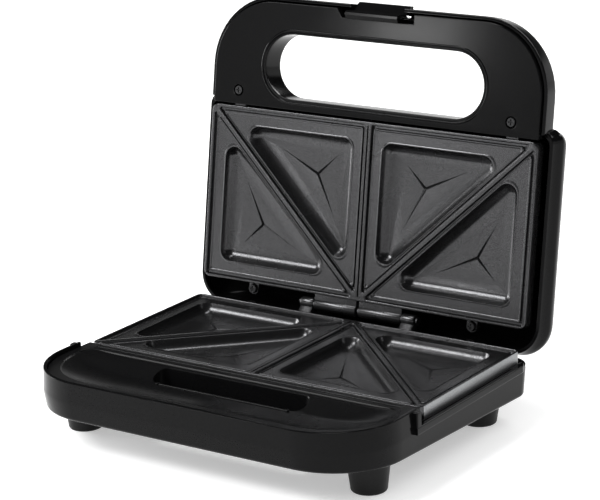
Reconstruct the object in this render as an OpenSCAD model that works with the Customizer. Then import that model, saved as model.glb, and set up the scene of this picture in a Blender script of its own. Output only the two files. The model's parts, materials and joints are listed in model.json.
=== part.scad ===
// Two-slot sandwich toaster: a low base and a lid with a carrying handle, joined by a hinge that is
// cast on the two cooking plates. The lid is drawn open, resting on its stop.
//
// Frame: X to the right, Y to the back, Z up. The origin lies on the surface that the toaster
// stands on, under the middle of the whole as it stands open. Millimetres.
// Pieces of the base are written in a frame that moves with the hinge line (Y = 0 on the hinge).
// Pieces of the lid are written as if it were shut, about the hinge axis (Y = Z = 0 on the axis).

/* [Cooking plates] */
// Width of each cooking plate
plate_w = 220; // [212:1:230]
// Depth of each cooking plate
plate_d = 104; // [100:1:112]
// Radius of the plate's upright corners
plate_corner_r = 4; // [3:0.5:6]
// Height of the plate's outer skirt
skirt_h = 8; // [7.5:0.5:9]
// Thickness of the cast metal
cast_t = 2.4; // [2:0.1:3]
// Width of the raised rim round the plate
rim_t = 1.6; // [1.2:0.1:2.2]
// Width of the gutter inside the rim
gutter_w = 1.4; // [1:0.1:2]
// Depth of the gutter under the rim
gutter_drop = 2.2; // [1.6:0.1:2.6]
// Drop from the rim to the flat land between the pockets
land_drop = 1.2; // [0.8:0.1:1.5]
// Fillet radius round the bottom of a pocket
pocket_r = 6.5; // [6:0.5:8]
// Depth of a pocket under the land
pocket_drop = 6; // [5:0.25:6.5]
// Distance from the plate's edge to a pocket
edge_land = 11; // [9.5:0.5:13]
// Distance from the middle of the dividing ridge to a pocket
ridge_land = 10; // [8.5:0.5:12]
// Distance from the middle of the diagonal ridge to a pocket
diagonal_land = 4.2; // [3.6:0.2:6]
// Width of the dividing ridge
ridge_w = 4.6; // [4:0.2:6]
// Width of the diagonal cutting ridge
diagonal_w = 2.6; // [2:0.2:3.4]
// Share of the way to a corner that each arm of the pressed star reaches
star_share = 0.37; // [0.25:0.01:0.42]
// Gap between the two rims when the lid is shut
rim_gap = 0.6; // [0.4:0.1:1]

/* [Hinge] */
// Angle that the lid opens to before it meets its stop
open_angle = 99.4; // [92:0.2:104]
// Height of the plane where the two rims meet
mate_z = 39.5; // [38.5:0.5:42]
// Height of the hinge axis above that plane
hinge_rise = 3.3; // [3:0.1:3.8]
// Distance from the hinge axis to the plates' rear edges
hinge_back = 6.2; // [6:0.1:7]
// Outer radius of the hinge knuckles
knuckle_r = 3.5; // [3.2:0.1:3.8]
// Radius of the hinge pin
pin_r = 1.5; // [1.2:0.1:1.8]
// Gap between the two long knuckles in the middle
knuckle_split = 1.8; // [1:0.2:3]
// Length of each long knuckle on the upper plate
long_knuckle_w = 29; // [24:1:32]
// Length of each end knuckle on the lower plate
end_knuckle_w = 8.6; // [7:0.2:10]
// Side play between neighbouring knuckles
knuckle_play = 0.4; // [0.3:0.1:0.6]
// Radial play of the pin in its knuckles
pin_play = 0.06; // [0.03:0.01:0.09]

/* [Base] */
// Distance from the hinge axis to the front face
front_reach = 176; // [172:1:184]
// Distance from the hinge axis to the base's rear face
back_reach = 4; // [3:0.5:5]
// Housing that stands outside the plate's width at the rim
side_margin = 2.4; // [2.2:0.1:3]
// Radius of the front corners seen from above
front_corner_r = 42; // [36:1:48]
// Radius of the base's rear corners seen from above
back_corner_r = 14; // [10:1:18]
// Thickness of the moulded walls
wall = 2.2; // [2:0.1:2.4]
// Height of the front rim above the plane where the plates meet
rim_rise = 2; // [1.5:0.25:2.5]
// Height of the underside at the front
bottom_front_z = 19; // [18:0.5:20]
// Height of the underside at the back
bottom_back_z = 12; // [11:0.5:13]
// Inward lean of the walls between the belly and the underside
draft = 2.5; // [1.5:0.25:3.5]
// Outward swell of the walls between the rim and the belly
belly = 0.9; // [0.4:0.1:1.2]
// Radius of the edge round the underside
bottom_round = 4; // [3:0.5:5]
// Overhang of the side flanges past the plate
flange_out = 5.4; // [5:0.2:6.5]
// Drop from the meeting plane to the top of the flanges
flange_drop = 6.6; // [6:0.2:7.2]
// Height of the band along each flange
flange_h = 4.5; // [4:0.25:5]
// Distance from the hinge axis to the rear end of the flanges
flange_end = 6; // [4:0.5:10]
// Distance from the plate's front edge to the step in the base's side
base_step = 13; // [12:0.5:16]
// Gap between the plate's skirt and the housing round it
skirt_gap = 1.2; // [1:0.1:1.6]
// Distance of the cord inlet from the middle line
inlet_x = 60; // [40:2:80]
// Radius of the hole in the cord inlet's bush
inlet_r = 3.2; // [2.8:0.1:3.6]

/* [Front deck] */
// Width of the finger opening in the base
base_hole_w = 100; // [90:1:110]
// Depth of the finger opening in the base
base_hole_d = 27; // [24:0.5:29]
// Corner radius of the finger opening in the base
base_hole_r = 7; // [5:0.5:12]
// Distance from the hinge axis to the middle of the finger opening
base_hole_reach = 139; // [137:0.5:142]
// Depth of the dished surface round the finger opening
dish_drop = 3.5; // [2.5:0.25:4.5]
// Width of the flat border between the deck's front edge and the dish
dish_border = 5; // [4:0.5:7]
// Distance from the plate's front edge to the dish
dish_start = 12; // [11:0.5:14]
// Number of grooves between the dish and the plate
groove_count = 3; // [2:1:4]
// Width of each of these grooves
groove_w = 1.2; // [0.8:0.1:1.6]
// Length of the raised lip on the front edge of the finger opening
lip_w = 82; // [60:1:90]

/* [Feet] */
// Distance between the feet, side to side
foot_pitch_x = 188; // [176:1:190]
// Distance between the feet, front to back
foot_pitch_y = 113; // [104:1:118]
// Distance from the hinge axis to the middle of the front feet
foot_reach = 137.5; // [134:0.5:140]
// Radius of a foot where it meets the base
foot_top_r = 12; // [11:0.25:13]
// Radius of a foot at the bottom
foot_bottom_r = 9.8; // [9:0.2:11]
// Depth that a foot reaches into its socket
foot_sink = 2; // [1.5:0.25:3]
// Radius of the stud that holds a foot
foot_stud_r = 3; // [2.5:0.25:4]

/* [Lid] */
// Thickness of the handle part of the lid
handle_t = 16; // [14:0.5:18]
// Height of the crowned part of the lid above the hinge axis
crown_h = 31; // [29:0.5:34]
// Distance that the lid reaches behind the hinge axis
lid_back = 11; // [10:0.5:12]
// Radius of the lid's rear corners seen from above
lid_corner_r = 18; // [15:0.5:22]
// Overhang of the crowned part past the plate at its lower edge
lid_flange_out = 6; // [5.5:0.25:7]
// Swell of the crowned part's sides above that edge
crown_swell = 2.6; // [1:0.2:4]
// Distance from the plate's front edge to the step in the lid's side
lid_step = 6; // [4:0.5:8]
// Length of the handle opening
grip_w = 147; // [130:1:150]
// Height of the handle opening
grip_h = 37.6; // [34:0.2:38]
// Distance from the hinge axis to the middle of the handle opening
grip_reach = 136.5; // [135:0.5:138]
// Width of the raised lip round the handle opening
grip_lip = 2.4; // [1.8:0.2:3]
// Distance of the cover screws from the middle line
screw_x = 92; // [86:1:94]
// Distance from the plate's front edge to the cover screws
screw_reach = 9.4; // [9:0.2:10.4]
// Distance of the rear plate screws from the middle line
rear_screw_x = 75; // [60:1:90]
// Distance between the two signal lamps
lamp_pitch = 26; // [20:1:32]
// Radius of a signal lamp's lens
lens_r = 3.5; // [3:0.25:4.5]

/* [Latch] */
// Width of the latch
latch_w = 35; // [30:1:40]
// Length that the latch reaches below the lid's rim
latch_drop = 6.8; // [6.4:0.2:7.2]
// Thickness of the latch's blade
latch_t = 2.4; // [2:0.1:2.6]
// Overlap of the latch's tooth and the edge that it catches
latch_catch = 0.8; // [0.6:0.1:0.9]
// Radius of the latch's pin
latch_pin_r = 1.2; // [1:0.1:1.4]

/* [Heating] */
// Radius of the tubular heating element
element_r = 3.2; // [2.8:0.1:3.5]
// Distance of the element's side runs from the middle line
element_x = 80; // [74:1:86]
// Distance from the hinge axis to the element's front run
element_front = 84; // [78:1:90]
// Distance from the hinge axis to the ends of the element
element_rear = 24; // [20:1:30]
// Radius of the element's bends
element_bend = 16; // [12:1:20]
// Radius of the thermostat
thermostat_r = 6; // [5:0.5:6.5]

/* [Hidden] */

$fn = 64;
pocket_fn = 24;
eps = 0.01;
layer_t = 0.2;
quarter_steps = 10;
seat = 0.1;
play = 0.3;

black_gloss = [0.05, 0.05, 0.055];
black_matt = [0.09, 0.09, 0.09];
coating = [0.22, 0.22, 0.23];
steel = [0.72, 0.73, 0.75];
ceramic = [0.9, 0.88, 0.83];
amber = [0.85, 0.4, 0.1];
green = [0.15, 0.6, 0.2];

// Main planes and lines
hinge_z = mate_z + hinge_rise;
plate_front = hinge_back + plate_d;
body_half = plate_w / 2 + side_margin;
belly_half = body_half + belly;
flange_half = plate_w / 2 + flange_out;
flange_z = mate_z - flange_drop;
rim_z = mate_z + rim_rise;
base_step_reach = plate_front + base_step;
slope = (bottom_back_z - bottom_front_z) / (front_reach + back_reach);

// The lid's rear wall meets the base's rear edge when the lid is open
stop_gap = 0.6;
wall_at_stop = (back_reach - lid_back * cos(open_angle)) / sin(open_angle);
ledge_z = hinge_z - lid_back * sin(open_angle) + wall_at_stop * cos(open_angle) - stop_gap;

// Lid, in the shut frame about the axis
lid_rim_z = rim_z + rim_gap - hinge_z;
lid_edge_z = flange_drop - hinge_rise;
panel_z = lid_rim_z - 1.9;
handle_top = panel_z + handle_t;
lid_step_reach = plate_front + lid_step;
crown_half = plate_w / 2 + lid_flange_out;
crown_round = 34;
crown_z = lid_edge_z + 8.5;
inset_gap = 0.6;

// Rearmost edge of the open lid, and the hinge's place behind the middle of the whole
function crown_inset(t) = crown_round * (1 - cos(t));
function crown_level(t, w) = crown_z + (crown_h - w - crown_z) * sin(t);
rear_edge_y = 0.9 * crown_inset(72) - lid_step_reach;
rear_edge_z = crown_level(72, 0);
hinge_y = (front_reach - rear_edge_y * cos(open_angle) - rear_edge_z * sin(open_angle)) / 2;

// Latch blade, and the deck's edge that its tooth catches
latch_setback = 1.3;
latch_front_reach = front_reach - wall - latch_setback;
latch_back_reach = latch_front_reach - latch_t;
latch_catch_gap = 1.5;
latch_edge_reach = latch_back_reach - latch_catch_gap;
latch_side_gap = 0.6;
latch_pocket = 1.4;

// Screws, posts and lugs
screw_r = 1.5;
screw_play = 0.15;
head_r = 3;
head_h = 1.8;
post_r = 3.8;
rear_post_r = 3.3;
lug_t = 2.4;
lug_drop = 3.4;
rear_lug_reach = -2.6;
front_lug_reach = plate_front + screw_reach;

// Height of a point of the underside at a distance from the hinge
function underside(y) = bottom_front_z + slope * (y + front_reach);

// Unit normal on the left of a line from p to q
function left(p, q) = [p[1] - q[1], q[0] - p[0]] / norm(q - p);

// Point where the inward offsets of three lines' corners meet: the inset corner at b
function corner(a, b, c, da, dc) =
    let (u = (b - a) / norm(b - a), v = (c - b) / norm(c - b),
        n = left(a, b), m = left(b, c), k = u[0] * v[1] - u[1] * v[0],
        p = b + n * da, q = b + m * dc, t = ((q - p)[0] * v[1] - (q - p)[1] * v[0]) / k)
    p + u * t;

// ---------- Outlines ----------

// Rectangle with round corners, centred
module round_rect(w, d, r) {
    square([w - 2 * r, d], center = true);
    square([w, d - 2 * r], center = true);
    for (sx = [-1, 1], sy = [-1, 1])
        translate([sx * (w / 2 - r), sy * (d / 2 - r)])
            circle(r);
}

// Slot with half-round ends, centred
module stadium(w, h) {
    square([w - h, h], center = true);
    for (s = [-1, 1])
        translate([s * (w - h) / 2, 0])
            circle(h / 2);
}

// Outline between two Y lines, with its own front and rear corner radii
module plan(half, front, back, front_r, back_r) {
    intersection() {
        union() {
            translate([-half, front_r - front])
                square([2 * half, front + back - front_r - back_r]);
            translate([front_r - half, -front])
                square([2 * (half - front_r), front_r + eps]);
            translate([back_r - half, back - back_r - eps])
                square([2 * (half - back_r), back_r + eps]);
            for (s = [-1, 1]) {
                translate([s * (half - front_r), front_r - front])
                    circle(front_r);
                translate([s * (half - back_r), back - back_r])
                    circle(back_r);
            }
        }
        translate([-half, -front])
            square([2 * half, front + back]);
    }
}

// Points of one quarter circle
function quarter(x, y, r, a) = [for (b = [0:quarter_steps])
    [x + r * cos(a + 90 * b / quarter_steps), y + r * sin(a + 90 * b / quarter_steps)]];

// The same outline as points, for the layers of a rounded shell
function plan_points(half, front, back, front_r, back_r) = concat(
    quarter(half - back_r, back - back_r, back_r, 0),
    quarter(back_r - half, back - back_r, back_r, 90),
    quarter(front_r - half, front_r - front, front_r, 180),
    quarter(half - front_r, front_r - front, front_r, 270));

// Thin level layer with its top at z
module layer(z, half, front, back, front_r, back_r) {
    translate([0, 0, z - layer_t])
        linear_extrude(layer_t)
            polygon(plan_points(half, front, back, front_r, back_r));
}

// Thin layer along the sloping underside, with its lower face a rise above it
module sloped_layer(rise, inset) {
    lift = bottom_front_z + rise + slope * front_reach;
    multmatrix([[1, 0, 0, 0], [0, 1, 0, 0], [0, slope, 1, lift], [0, 0, 0, 1]])
        linear_extrude(layer_t)
            polygon(plan_points(belly_half - inset, front_reach - inset, back_reach - inset / 3,
                front_corner_r - inset, back_corner_r - inset / 3));
}

// ---------- Shared small parts ----------

// Round post between two heights
module post(x, y, z0, z1, r) {
    translate([x, y, z0])
        cylinder(r = r, h = z1 - z0);
}

// Screw with a domed head and a cross recess, head down, shank up from z = 0
module screw(length) {
    difference() {
        union() {
            cylinder(r = screw_r, h = length);
            translate([0, 0, -head_h])
                cylinder(r1 = head_r - 0.6, r2 = head_r, h = head_h);
        }
        for (a = [0, 90])
            rotate([0, 0, a])
                translate([0, 0, -head_h])
                    cube([3.2, 0.7, 1.8], center = true);
    }
}

// Pieces of the base, placed behind the feet's centre
module in_base() {
    translate([0, hinge_y, 0])
        children();
}

// Pieces of the lid, opened about the hinge axis
module in_lid() {
    translate([0, hinge_y, hinge_z])
        rotate([-open_angle, 0, 0])
            children();
}

// ---------- Cooking plates ----------
// A plate lies face up with its rim at z = 0. The upper one is turned over by mirror().

half_x0 = ridge_w / 2;
half_x1 = plate_w / 2 - rim_t - gutter_w;
half_y0 = -plate_front + rim_t + gutter_w;
half_y1 = -hinge_back - rim_t - gutter_w;
inner_corner = [0, -plate_front];
outer_corner = [plate_w / 2, -plate_front];
hinge_corner = [0, -hinge_back];
back_corner = [plate_w / 2, -hinge_back];
pan_depth = land_drop + pocket_drop + cast_t;
under_land = -land_drop - cast_t;

// Corners of the front and rear pockets' outlines, counter-clockwise, and their stars' aims
front_tri = [inner_corner, outer_corner, hinge_corner];
rear_tri = [outer_corner, back_corner, hinge_corner];
front_lands = [edge_land, diagonal_land, ridge_land];
rear_lands = [edge_land, edge_land, diagonal_land];

// Triangle with each side moved in by its land plus r
function inset_tri(t, lands, r) = [for (i = [0:2])
    corner(t[(i + 2) % 3], t[i], t[(i + 1) % 3], lands[(i + 2) % 3] + r, lands[i] + r)];

// Outline of a triangle grown by r, with round corners
module grown_tri(t, r) {
    polygon(t);
    for (i = [0:2]) {
        p = t[i];
        q = t[(i + 1) % 3];
        n = left(p, q) * r;
        polygon([p, p - n, q - n, q]);
        translate(p)
            circle(r);
    }
}

// Pocket with filleted walls, cut down from the land
module pocket(t, lands) {
    r = pocket_r;
    hull()
        for (p = inset_tri(t, lands, r))
            translate([p[0], p[1], r - land_drop - pocket_drop])
                sphere(r, $fn = pocket_fn);
}

// Three tapered arms pressed in the pocket's floor
module star(t) {
    middle = (t[0] + t[1] + t[2]) / 3;
    for (p = t) {
        way = (p - middle) * star_share;
        side = left(middle, p) * 0.9;
        translate([0, 0, -land_drop - pocket_drop - 0.6])
            linear_extrude(1.2)
                polygon([middle - side, middle + way, middle + side]);
    }
}

// Long bar from one corner to another
module bar(p, q, w, z0, z1) {
    n = left(p, q) * w / 2;
    translate([0, 0, z0])
        linear_extrude(z1 - z0)
            polygon([p - n, q - n, q + n, p + n]);
}

// One half's triangle mirrored to both sides
module both_sides() {
    for (s = [0, 1])
        mirror([s, 0, 0])
            children();
}

// Cast bosses that the element's straps screw to
module plate_bosses() {
    for (c = clamp_places)
        translate([c[0], c[1], 0])
            rotate([0, 0, c[2]])
                for (s = [-1, 1])
                    translate([0, s * clamp_half, element_z])
                        cylinder(r = clamp_boss_r, h = c[3] - element_z);
}

// Lugs for the front and rear fixing screws
module plate_lugs() {
    both_sides() {
        translate([screw_x, -front_lug_reach, -lug_drop - lug_t])
            cylinder(r = post_r, h = lug_t);
        translate([screw_x - post_r, -front_lug_reach, -lug_drop - lug_t])
            cube([2 * post_r, screw_reach + cast_t / 2, lug_t]);
        translate([rear_screw_x, rear_lug_reach, -lug_drop - lug_t])
            cylinder(r = rear_post_r, h = lug_t);
        translate([rear_screw_x - rear_post_r, -hinge_back - cast_t / 2, -lug_drop - lug_t])
            cube([2 * rear_post_r, hinge_back + cast_t / 2 + rear_lug_reach, lug_t]);
    }
}

// Holes in the lugs and bosses for their screws
module plate_screw_holes() {
    hole_r = screw_r + screw_play;
    both_sides() {
        post(screw_x, -front_lug_reach, -lug_drop - lug_t - 1, 1 - lug_drop, hole_r);
        post(rear_screw_x, rear_lug_reach, -lug_drop - lug_t - 1, 1 - lug_drop, hole_r);
    }
    for (c = clamp_places)
        translate([c[0], c[1], 0])
            rotate([0, 0, c[2]])
                for (s = [-1, 1])
                    translate([0, s * clamp_half, element_z - 1])
                        cylinder(r = hole_r, h = clamp_screw_grip + 1.3);
}

// Casting without its knuckles
module plate_casting() {
    middle_y = -hinge_back - plate_d / 2;
    difference() {
        union() {
            difference() {
                translate([0, middle_y, -skirt_h])
                    linear_extrude(skirt_h)
                        round_rect(plate_w, plate_d, plate_corner_r);
                translate([0, middle_y, -gutter_drop])
                    linear_extrude(gutter_drop + 1)
                        square([plate_w - 2 * rim_t, plate_d - 2 * rim_t], center = true);
                translate([0, middle_y, -skirt_h - 1])
                    linear_extrude(skirt_h + 1 + under_land)
                        square([plate_w - 2 * cast_t, plate_d - 2 * cast_t], center = true);
            }
            both_sides()
                translate([half_x0 + gutter_w, half_y0, under_land])
                    cube([half_x1 - half_x0 - gutter_w, half_y1 - half_y0, cast_t]);
            translate([-half_x0, half_y0 - gutter_w - eps, under_land])
                cube([ridge_w, half_y1 - half_y0 + 2 * gutter_w + 2 * eps, -under_land - play]);
            both_sides() {
                bar(outer_corner + [-rim_t, rim_t], hinge_corner + [half_x0, -rim_t],
                    diagonal_w, under_land, -play);
                translate([0, 0, -pan_depth])
                    linear_extrude(pan_depth - land_drop)
                        grown_tri(inset_tri(front_tri, front_lands, pocket_r), pocket_r + cast_t);
                translate([0, 0, -pan_depth])
                    linear_extrude(pan_depth - land_drop)
                        grown_tri(inset_tri(rear_tri, rear_lands, pocket_r), pocket_r + cast_t);
            }
            plate_bosses();
            plate_lugs();
        }
        both_sides() {
            pocket(front_tri, front_lands);
            pocket(rear_tri, rear_lands);
            star(front_tri);
            star(rear_tri);
        }
        translate([0, middle_y, -gutter_drop])
            linear_extrude(gutter_drop)
                square([0.8, plate_d - 2 * rim_t], center = true);
        plate_screw_holes();
    }
}

// Knuckle on the hinge axis, from x0 to x1, with the web that joins it to the skirt.
// rise is the height of the axis above the rim.
module knuckle(x0, x1, rise, web) {
    translate([x0, 0, 0])
        rotate([90, 0, 90])
            linear_extrude(x1 - x0)
                union() {
                    translate([0, rise])
                        circle(knuckle_r);
                    polygon(web);
                }
}

// Bore for the pin through every knuckle of a plate
module pin_bore(rise) {
    translate([-plate_w / 4, 0, rise])
        rotate([0, 90, 0])
            cylinder(r = pin_r + pin_play, h = plate_w / 2);
}

long_x0 = knuckle_split / 2;
long_x1 = long_x0 + long_knuckle_w;
end_x0 = long_x1 + knuckle_play;
end_x1 = end_x0 + end_knuckle_w;
lower_rise = hinge_rise + rim_gap / 2;
upper_rise = rim_gap / 2 - hinge_rise;

module lower_plate() {
    lower_web = [[-hinge_back - eps, -0.6], [-hinge_back - eps, -skirt_h],
        [-hinge_back + cast_t, -skirt_h], [knuckle_r * 0.9, lower_rise - knuckle_r * 0.4],
        [0, lower_rise], [-knuckle_r * 0.9, lower_rise - knuckle_r * 0.4]];
    color(coating)
        in_base()
            translate([0, 0, hinge_z - lower_rise])
                difference() {
                    union() {
                        plate_casting();
                        both_sides()
                            knuckle(end_x0, end_x1, lower_rise, lower_web);
                    }
                    pin_bore(lower_rise);
                }
}

module upper_plate() {
    upper_web = [[-hinge_back - eps, upper_rise - knuckle_r],
        [0, upper_rise - knuckle_r], [0, upper_rise + 2], [-hinge_back - eps, upper_rise + 2]];
    color(coating)
        in_lid()
            translate([0, 0, upper_rise])
                mirror([0, 0, 1])
                    difference() {
                        union() {
                            plate_casting();
                            both_sides()
                                knuckle(long_x0, long_x1, upper_rise, upper_web);
                        }
                        pin_bore(upper_rise);
                    }
}

// ---------- Heating, in a plate's frame ----------

element_z = -pan_depth - seat - element_r;
clamp_t = 1;
clamp_w = 8;
clamp_half = element_r + 5;
clamp_boss_r = 3;
clamp_screw_grip = 3;
side_clamp_y = -(element_front + element_rear) / 2;
clamp_places = [[0, -element_front, 0, under_land + 1],
    [element_x, side_clamp_y, 90, 0.5 - pan_depth], [-element_x, side_clamp_y, 90, 0.5 - pan_depth]];
reflector_t = 0.6;
reflector_lip = 1;
reflector_z = element_z - element_r - clamp_t - seat - reflector_t;
bead_l = 7;
terminal_l = 12;

// Tube bent to a U, with a thin terminal at each end
module element() {
    run_x = element_x - element_bend;
    run_y = -element_front + element_bend;
    translate([0, 0, element_z]) {
        translate([-run_x, -element_front, 0])
            rotate([0, 90, 0])
                cylinder(r = element_r, h = 2 * run_x);
        both_sides() {
            translate([run_x, run_y, 0])
                rotate([0, 0, -90])
                    rotate_extrude(angle = 90)
                        translate([element_bend, 0])
                            circle(element_r);
            translate([element_x, run_y, 0])
                rotate([-90, 0, 0])
                    cylinder(r = element_r, h = -element_rear - run_y);
            translate([element_x, -element_rear, 0])
                rotate([-90, 0, 0])
                    cylinder(r = 1, h = terminal_l);
        }
    }
}

// Ceramic bead round each terminal
module insulators() {
    both_sides()
        translate([element_x, seat - element_rear, element_z])
            rotate([-90, 0, 0])
                difference() {
                    cylinder(r = element_r - 0.2, h = bead_l);
                    translate([0, 0, -1])
                        cylinder(r = 1 + seat, h = bead_l + 2);
                }
}

// Straps over the element, each with two screwed feet
module clamps() {
    bend_r = element_r + seat;
    for (c = clamp_places)
        translate([c[0], c[1], element_z])
            rotate([0, 0, c[2]])
                difference() {
                    translate([-clamp_w / 2, 0, 0])
                        rotate([90, 0, 90])
                            linear_extrude(clamp_w)
                                difference() {
                                    union() {
                                        circle(bend_r + clamp_t - seat);
                                        translate([-clamp_half - clamp_w / 2, -clamp_t - seat])
                                            square([2 * clamp_half + clamp_w, clamp_t]);
                                    }
                                    circle(bend_r);
                                    translate([-bend_r - clamp_t, -seat])
                                        square(2 * (bend_r + clamp_t));
                                }
                    for (s = [-1, 1])
                        translate([0, s * clamp_half, -2])
                            cylinder(r = screw_r + screw_play, h = 3);
                }
}

module clamp_screws() {
    for (c = clamp_places)
        translate([c[0], c[1], element_z - clamp_t - 2 * seat])
            rotate([0, 0, c[2]])
                for (s = [-1, 1])
                    translate([0, s * clamp_half, 0])
                        screw(clamp_t + clamp_screw_grip);
}

// Shallow sheet tray under the element
module reflector() {
    w = plate_w - 24;
    d = plate_d - 20;
    translate([0, -hinge_back - plate_d / 2 - 3, reflector_z])
        difference() {
            linear_extrude(reflector_t + reflector_lip)
                round_rect(w, d, 8);
            translate([0, 0, reflector_t])
                linear_extrude(reflector_lip + 1)
                    round_rect(w - 2 * reflector_t, d - 2 * reflector_t, 8 - reflector_t);
        }
}

pillar_x = 50;
pillar_ys = [-element_rear - 8, -element_front + 8];
pillar_r = 2.6;

module lower_frame() {
    in_base()
        translate([0, 0, hinge_z - lower_rise])
            children();
}

module upper_frame() {
    in_lid()
        translate([0, 0, upper_rise])
            mirror([0, 0, 1])
                children();
}

module lower_element() { color(steel) lower_frame() element(); }
module upper_element() { color(steel) upper_frame() element(); }
module lower_insulators() { color(ceramic) lower_frame() insulators(); }
module upper_insulators() { color(ceramic) upper_frame() insulators(); }
module lower_clamps() { color(steel) lower_frame() clamps(); }
module upper_clamps() { color(steel) upper_frame() clamps(); }
module lower_clamp_screws() { color(steel) lower_frame() clamp_screws(); }
module upper_clamp_screws() { color(steel) upper_frame() clamp_screws(); }
module lower_reflector() { color(steel) lower_frame() reflector(); }
module upper_reflector() { color(steel) upper_frame() reflector(); }

// Disc thermostat against the plate's underside, with two blades
module thermostat() {
    top = under_land - seat;
    color(ceramic)
        lower_frame()
            translate([0, -hinge_back - plate_d / 2, 0]) {
                translate([0, 0, top - 5])
                    cylinder(r = thermostat_r, h = 5);
                translate([0, 0, top - 8])
                    cylinder(r = thermostat_r - 1.5, h = 3.1);
                for (s = [-1, 1])
                    translate([s * 2.6 - 0.4, -1.5, top - 11])
                        cube([0.8, 3, 4]);
            }
}

fuse_r = 1.9;
fuse_l = 12;
fuse_y = -element_rear - 8;

module thermal_fuse() {
    color(steel)
        lower_frame()
            translate([0, fuse_y, under_land - seat - fuse_r])
                rotate([90, 0, 0]) {
                    cylinder(r = fuse_r, h = fuse_l, center = true);
                    cylinder(r = 0.5, h = fuse_l + 8, center = true);
                }
}

// Strap that holds the fuse against the plate
module fuse_clip() {
    bend_r = fuse_r + seat;
    t = 0.6;
    color(steel)
        lower_frame()
            translate([0, fuse_y, under_land - seat - fuse_r])
                rotate([90, 0, 0])
                    linear_extrude(5, center = true)
                        difference() {
                            union() {
                                circle(bend_r + t);
                                translate([-bend_r - t, 0])
                                    square([2 * (bend_r + t), fuse_r]);
                                translate([-6, fuse_r - t])
                                    square([12, t]);
                            }
                            circle(bend_r);
                            translate([-bend_r, 0])
                                square([2 * bend_r, fuse_r + 1]);
                        }
}

// ---------- Base ----------

belly_z = flange_z - flange_h;
tube_t = 2;
deck_z = mate_z;
deck_half = body_half - wall - play;
deck_front = front_reach - wall - play;
deck_back = plate_front + skirt_gap;
dish_z = deck_z - dish_drop;
dish_front = deck_front - dish_border;
dish_half = deck_half - 1.6 * dish_border;
dish_back = plate_front + dish_start;
dish_cove = 4;
dish_slope = 3;
latch_room = 5;
deck_screw_x = 84;
deck_screw_reach = 157;
lug_under_z = hinge_z - lower_rise - lug_drop - lug_t;
lug_over_z = hinge_z - lower_rise - lug_drop;

// Tub from the sloping underside up to the rim, w inside the outer skin
module tub(w, top_z) {
    r = bottom_round - w / 2;
    hull() {
        for (a = [0:30:90])
            sloped_layer(w + r * (1 - cos(a)), draft + w + r * (1 - sin(a)));
        layer(belly_z, belly_half - w, front_reach - w, back_reach - w, front_corner_r - w,
            back_corner_r - w);
        layer(top_z, body_half - w, front_reach - w, back_reach - w, front_corner_r - w,
            back_corner_r - w);
    }
}

// Flange along the plate's sides, with the rib that rises from it at the step
module flanges() {
    inner = plate_w / 2 + skirt_gap;
    length = base_step_reach - flange_end;
    translate([0, 0, belly_z])
        linear_extrude(flange_h)
            difference() {
                plan(flange_half, base_step_reach, -flange_end, 1, 8);
                translate([-inner, -base_step_reach - 1])
                    square([2 * inner, length + 2]);
            }
    for (s = [-1, 1])
        translate([s * (flange_half + inner) / 2 - (flange_half - inner) / 2, -base_step_reach, belly_z])
            cube([flange_half - inner, flange_h, rim_z - belly_z - 0.5]);
}

// Everything that stands on the tub's floor
module base_posts() {
    both_sides() {
        post(screw_x, -front_lug_reach, 0, lug_under_z - seat, post_r);
        post(rear_screw_x, rear_lug_reach, 0, lug_under_z - seat, rear_post_r);
        for (y = pillar_ys)
            post(pillar_x, y, 0, hinge_z - lower_rise + reflector_z - seat, pillar_r);
        for (y = foot_ys)
            post(foot_pitch_x / 2, y, 0, socket_top(y) + wall, foot_top_r + play + 1.8);
    }
    translate([inlet_x - terminal_w / 2 - 1, terminal_y - terminal_d / 2, 0])
        cube([terminal_w + 2, terminal_d, terminal_z - seat]);
}

foot_ys = [-foot_reach, foot_pitch_y - foot_reach];
function socket_top(y) = underside(y) + foot_sink;
terminal_y = -12;
terminal_z = underside(terminal_y) + wall + 1;
terminal_w = 24;
terminal_d = 12;
terminal_h = 6.5;
inlet_z = (bottom_back_z + ledge_z) / 2;
bush_r = inlet_r + 2;

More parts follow.
